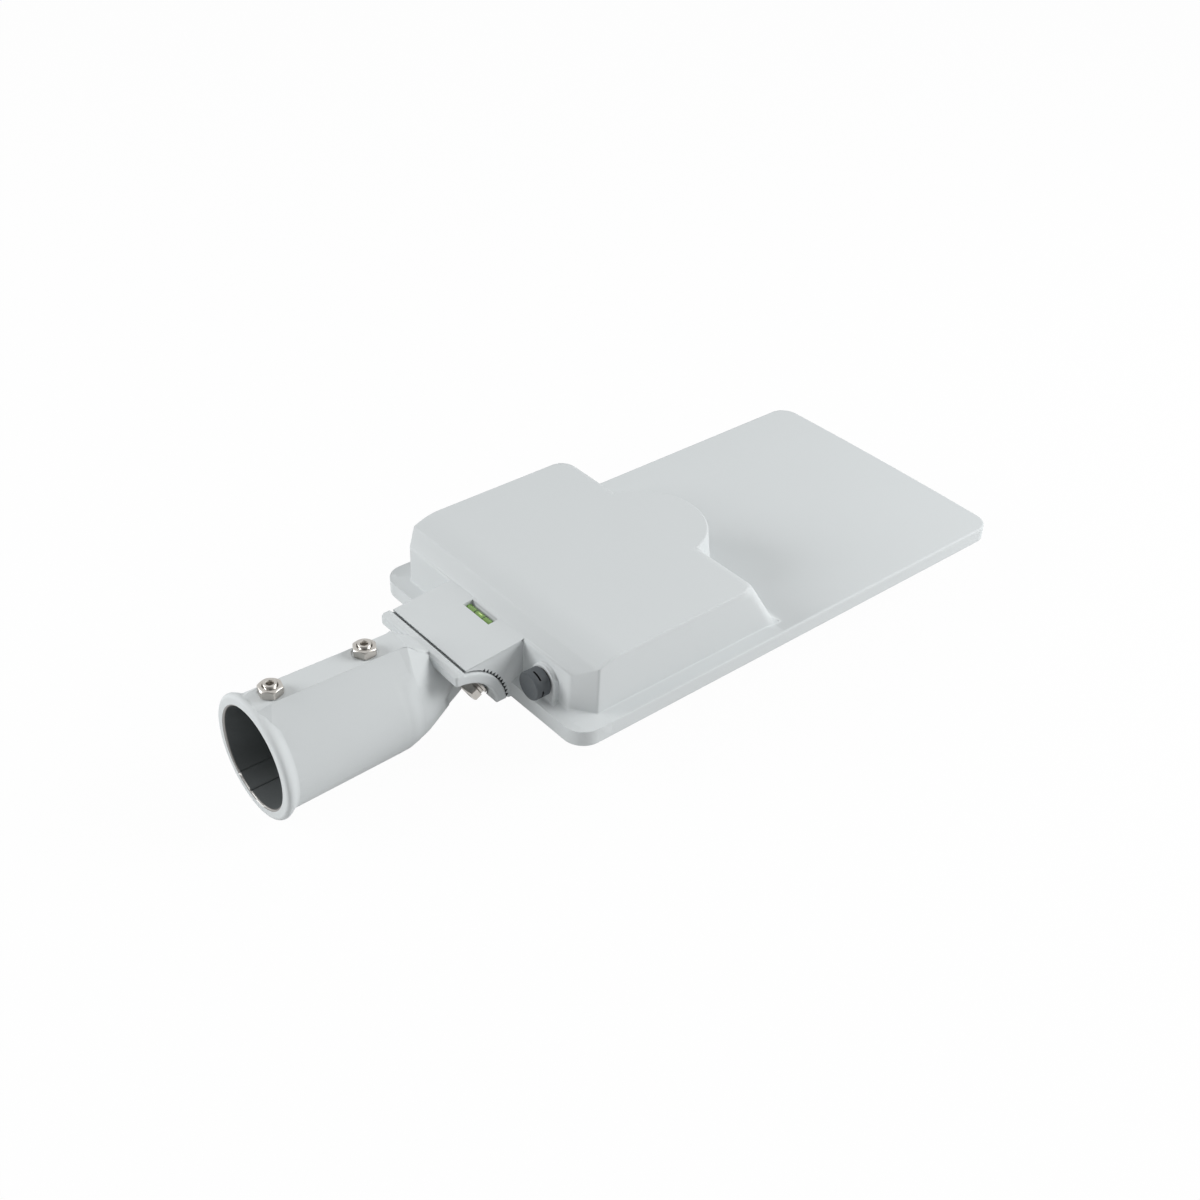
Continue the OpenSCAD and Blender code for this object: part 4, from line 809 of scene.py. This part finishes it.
def makeSheetPiece(nodeName, name, low, edge):
    # a flat plate from the CAD whose lower edges are rounded
    mesh = copyOfNode(nodeName, name)
    middle, way, length, fold = edgeFacts(mesh, headPlace)
    width = np.where(near(middle[:, 2], low, 0.05) & (fold > 60), edge, 0.0)
    piece = addPiece(name, mesh, "cover_grey", "head", [nodeName])
    finishShading(mesh, 35.0)
    roundEdges(piece, width, edge, 2)


makeSheetPiece("gear_cover", "gearCover", sheetEdges["coverLevel"], sheetEdges["coverEdge"])
makeSheetPiece("lens_frame", "lensFrame", sheetEdges["frameLevel"], sheetEdges["frameEdge"])

viewSetup = {
    "cameraPlace": (-0.28493, -0.60233, 0.59060),
    "cameraTurn": (53.56146, -2.16738, -39.94887),  # degrees about X, Y and Z
    "lens": 47.1735,
    "sensorWidth": 36,
    "floorLevel": -0.0384,
    "floorHalf": 6.0,
    "floorColour": (0.74, 0.74, 0.74),
    "floorWhite": 0.97,
    "ambient": 0.42,
    "darkWay": (-0.62, -0.74, 0.26),  # towards the camera's side
    "darkFrom": 0.35,
    "darkTo": 0.85,
    "darkShare": 0.9,
    "target": (0.15, 0, 0.01),
    "lamps": {  # direction from the object, distance in metres, power in watts and size in metres
        "sideLamp": ((0.70, -0.50, 0.46), 1.8, 24.5, 1.1),
        "backLamp": ((-0.75, 0.50, 0.43), 1.8, 21.0, 1.1),
    },
}


def makeCamera():
    camera = bpy.data.objects.new("camera", bpy.data.cameras.new("camera"))
    bpy.context.scene.collection.objects.link(camera)
    camera.location = viewSetup["cameraPlace"]
    camera.rotation_euler = [math.radians(a) for a in viewSetup["cameraTurn"]]
    camera.data.lens = viewSetup["lens"]
    camera.data.sensor_width = viewSetup["sensorWidth"]
    camera.data.clip_start = 0.01
    bpy.context.scene.camera = camera
    bpy.context.scene.view_settings.view_transform = "Standard"


def unlitRays(tree, path):
    # 1 for rays from the camera and for reflections and refractions, 0 for light that falls on the object
    seen = maths(tree, "MAXIMUM", path["Is Camera Ray"], path["Is Glossy Ray"])
    return maths(tree, "MAXIMUM", seen, path["Is Transmission Ray"])


def makeFloor():
    # a white floor that keeps the object's shadow; a camera below it sees the underside of the lamp through it
    mesh = bpy.data.meshes.new("floor")
    half, z = viewSetup["floorHalf"], viewSetup["floorLevel"]
    mesh.from_pydata([(-half, -half, z), (half, -half, z), (half, half, z), (-half, half, z)], [], [(0, 1, 2, 3)])
    floor = bpy.data.objects.new("floor", mesh)
    bpy.context.scene.collection.objects.link(floor)
    material = bpy.data.materials.new("floorPaper")
    material.use_nodes = True
    tree = material.node_tree
    shader = tree.nodes["Principled BSDF"]
    shader.inputs["Base Color"].default_value = (*viewSetup["floorColour"], 1)
    shader.inputs["Roughness"].default_value = 0.9
    shader.inputs["Specular IOR Level"].default_value = 0.1
    path = node(tree, "ShaderNodeLightPath").outputs
    white = node(tree, "ShaderNodeEmission", {"Color": (1, 1, 1, 1), "Strength": 1.0})
    share = maths(tree, "MULTIPLY", unlitRays(tree, path), viewSetup["floorWhite"])
    paper = node(tree, "ShaderNodeMixShader", {0: share, 1: shader.outputs[0], 2: white.outputs[0]})
    behind = node(tree, "ShaderNodeNewGeometry").outputs["Backfacing"]
    through = maths(tree, "MULTIPLY", behind, path["Is Camera Ray"])
    clear = node(tree, "ShaderNodeBsdfTransparent")
    both = node(tree, "ShaderNodeMixShader", {0: through, 1: paper.outputs[0], 2: clear.outputs[0]})
    tree.links.new(both.outputs[0], tree.nodes["Material Output"].inputs["Surface"])
    mesh.materials.append(material)


def makeWorld():
    # even light; reflections find a dark side where the camera stands, as in a tent with an open front
    world = bpy.data.worlds.new("studio")
    bpy.context.scene.world = world
    world.use_nodes = True
    tree = world.node_tree
    path = node(tree, "ShaderNodeLightPath").outputs
    level = node(tree, "ShaderNodeMapRange", {"Value": unlitRays(tree, path), "To Min": viewSetup["ambient"],
                                              "To Max": 1.0})
    place = node(tree, "ShaderNodeTexCoord")
    facing = node(tree, "ShaderNodeVectorMath", {0: place.outputs["Object"], 1: viewSetup["darkWay"]},
                  operation="DOT_PRODUCT")
    dark = node(tree, "ShaderNodeMapRange",
                {"Value": facing.outputs["Value"], "From Min": viewSetup["darkFrom"],
                 "From Max": viewSetup["darkTo"], "To Min": 0.0, "To Max": viewSetup["darkShare"]},
                interpolation_type="SMOOTHSTEP")
    share = maths(tree, "MULTIPLY", dark.outputs[0], path["Is Glossy Ray"])
    strength = maths(tree, "MULTIPLY", level.outputs[0], maths(tree, "SUBTRACT", 1.0, share))
    back = tree.nodes["Background"]
    back.inputs["Color"].default_value = (1, 1, 1, 1)
    tree.links.new(strength, back.inputs["Strength"])


def makeLamps():
    target = Vector(viewSetup["target"])
    for name, (way, distance, power, size) in viewSetup["lamps"].items():
        lamp = bpy.data.objects.new(name, bpy.data.lights.new(name, "AREA"))
        bpy.context.scene.collection.objects.link(lamp)
        lamp.data.shape = "DISK"
        lamp.data.size = size
        lamp.data.energy = power
        lamp.location = target + Vector(way).normalized() * distance
        lamp.rotation_euler = (target - lamp.location).to_track_quat("-Z", "Y").to_euler()


makeCamera()
makeFloor()
makeWorld()
makeLamps()
print("stage made")
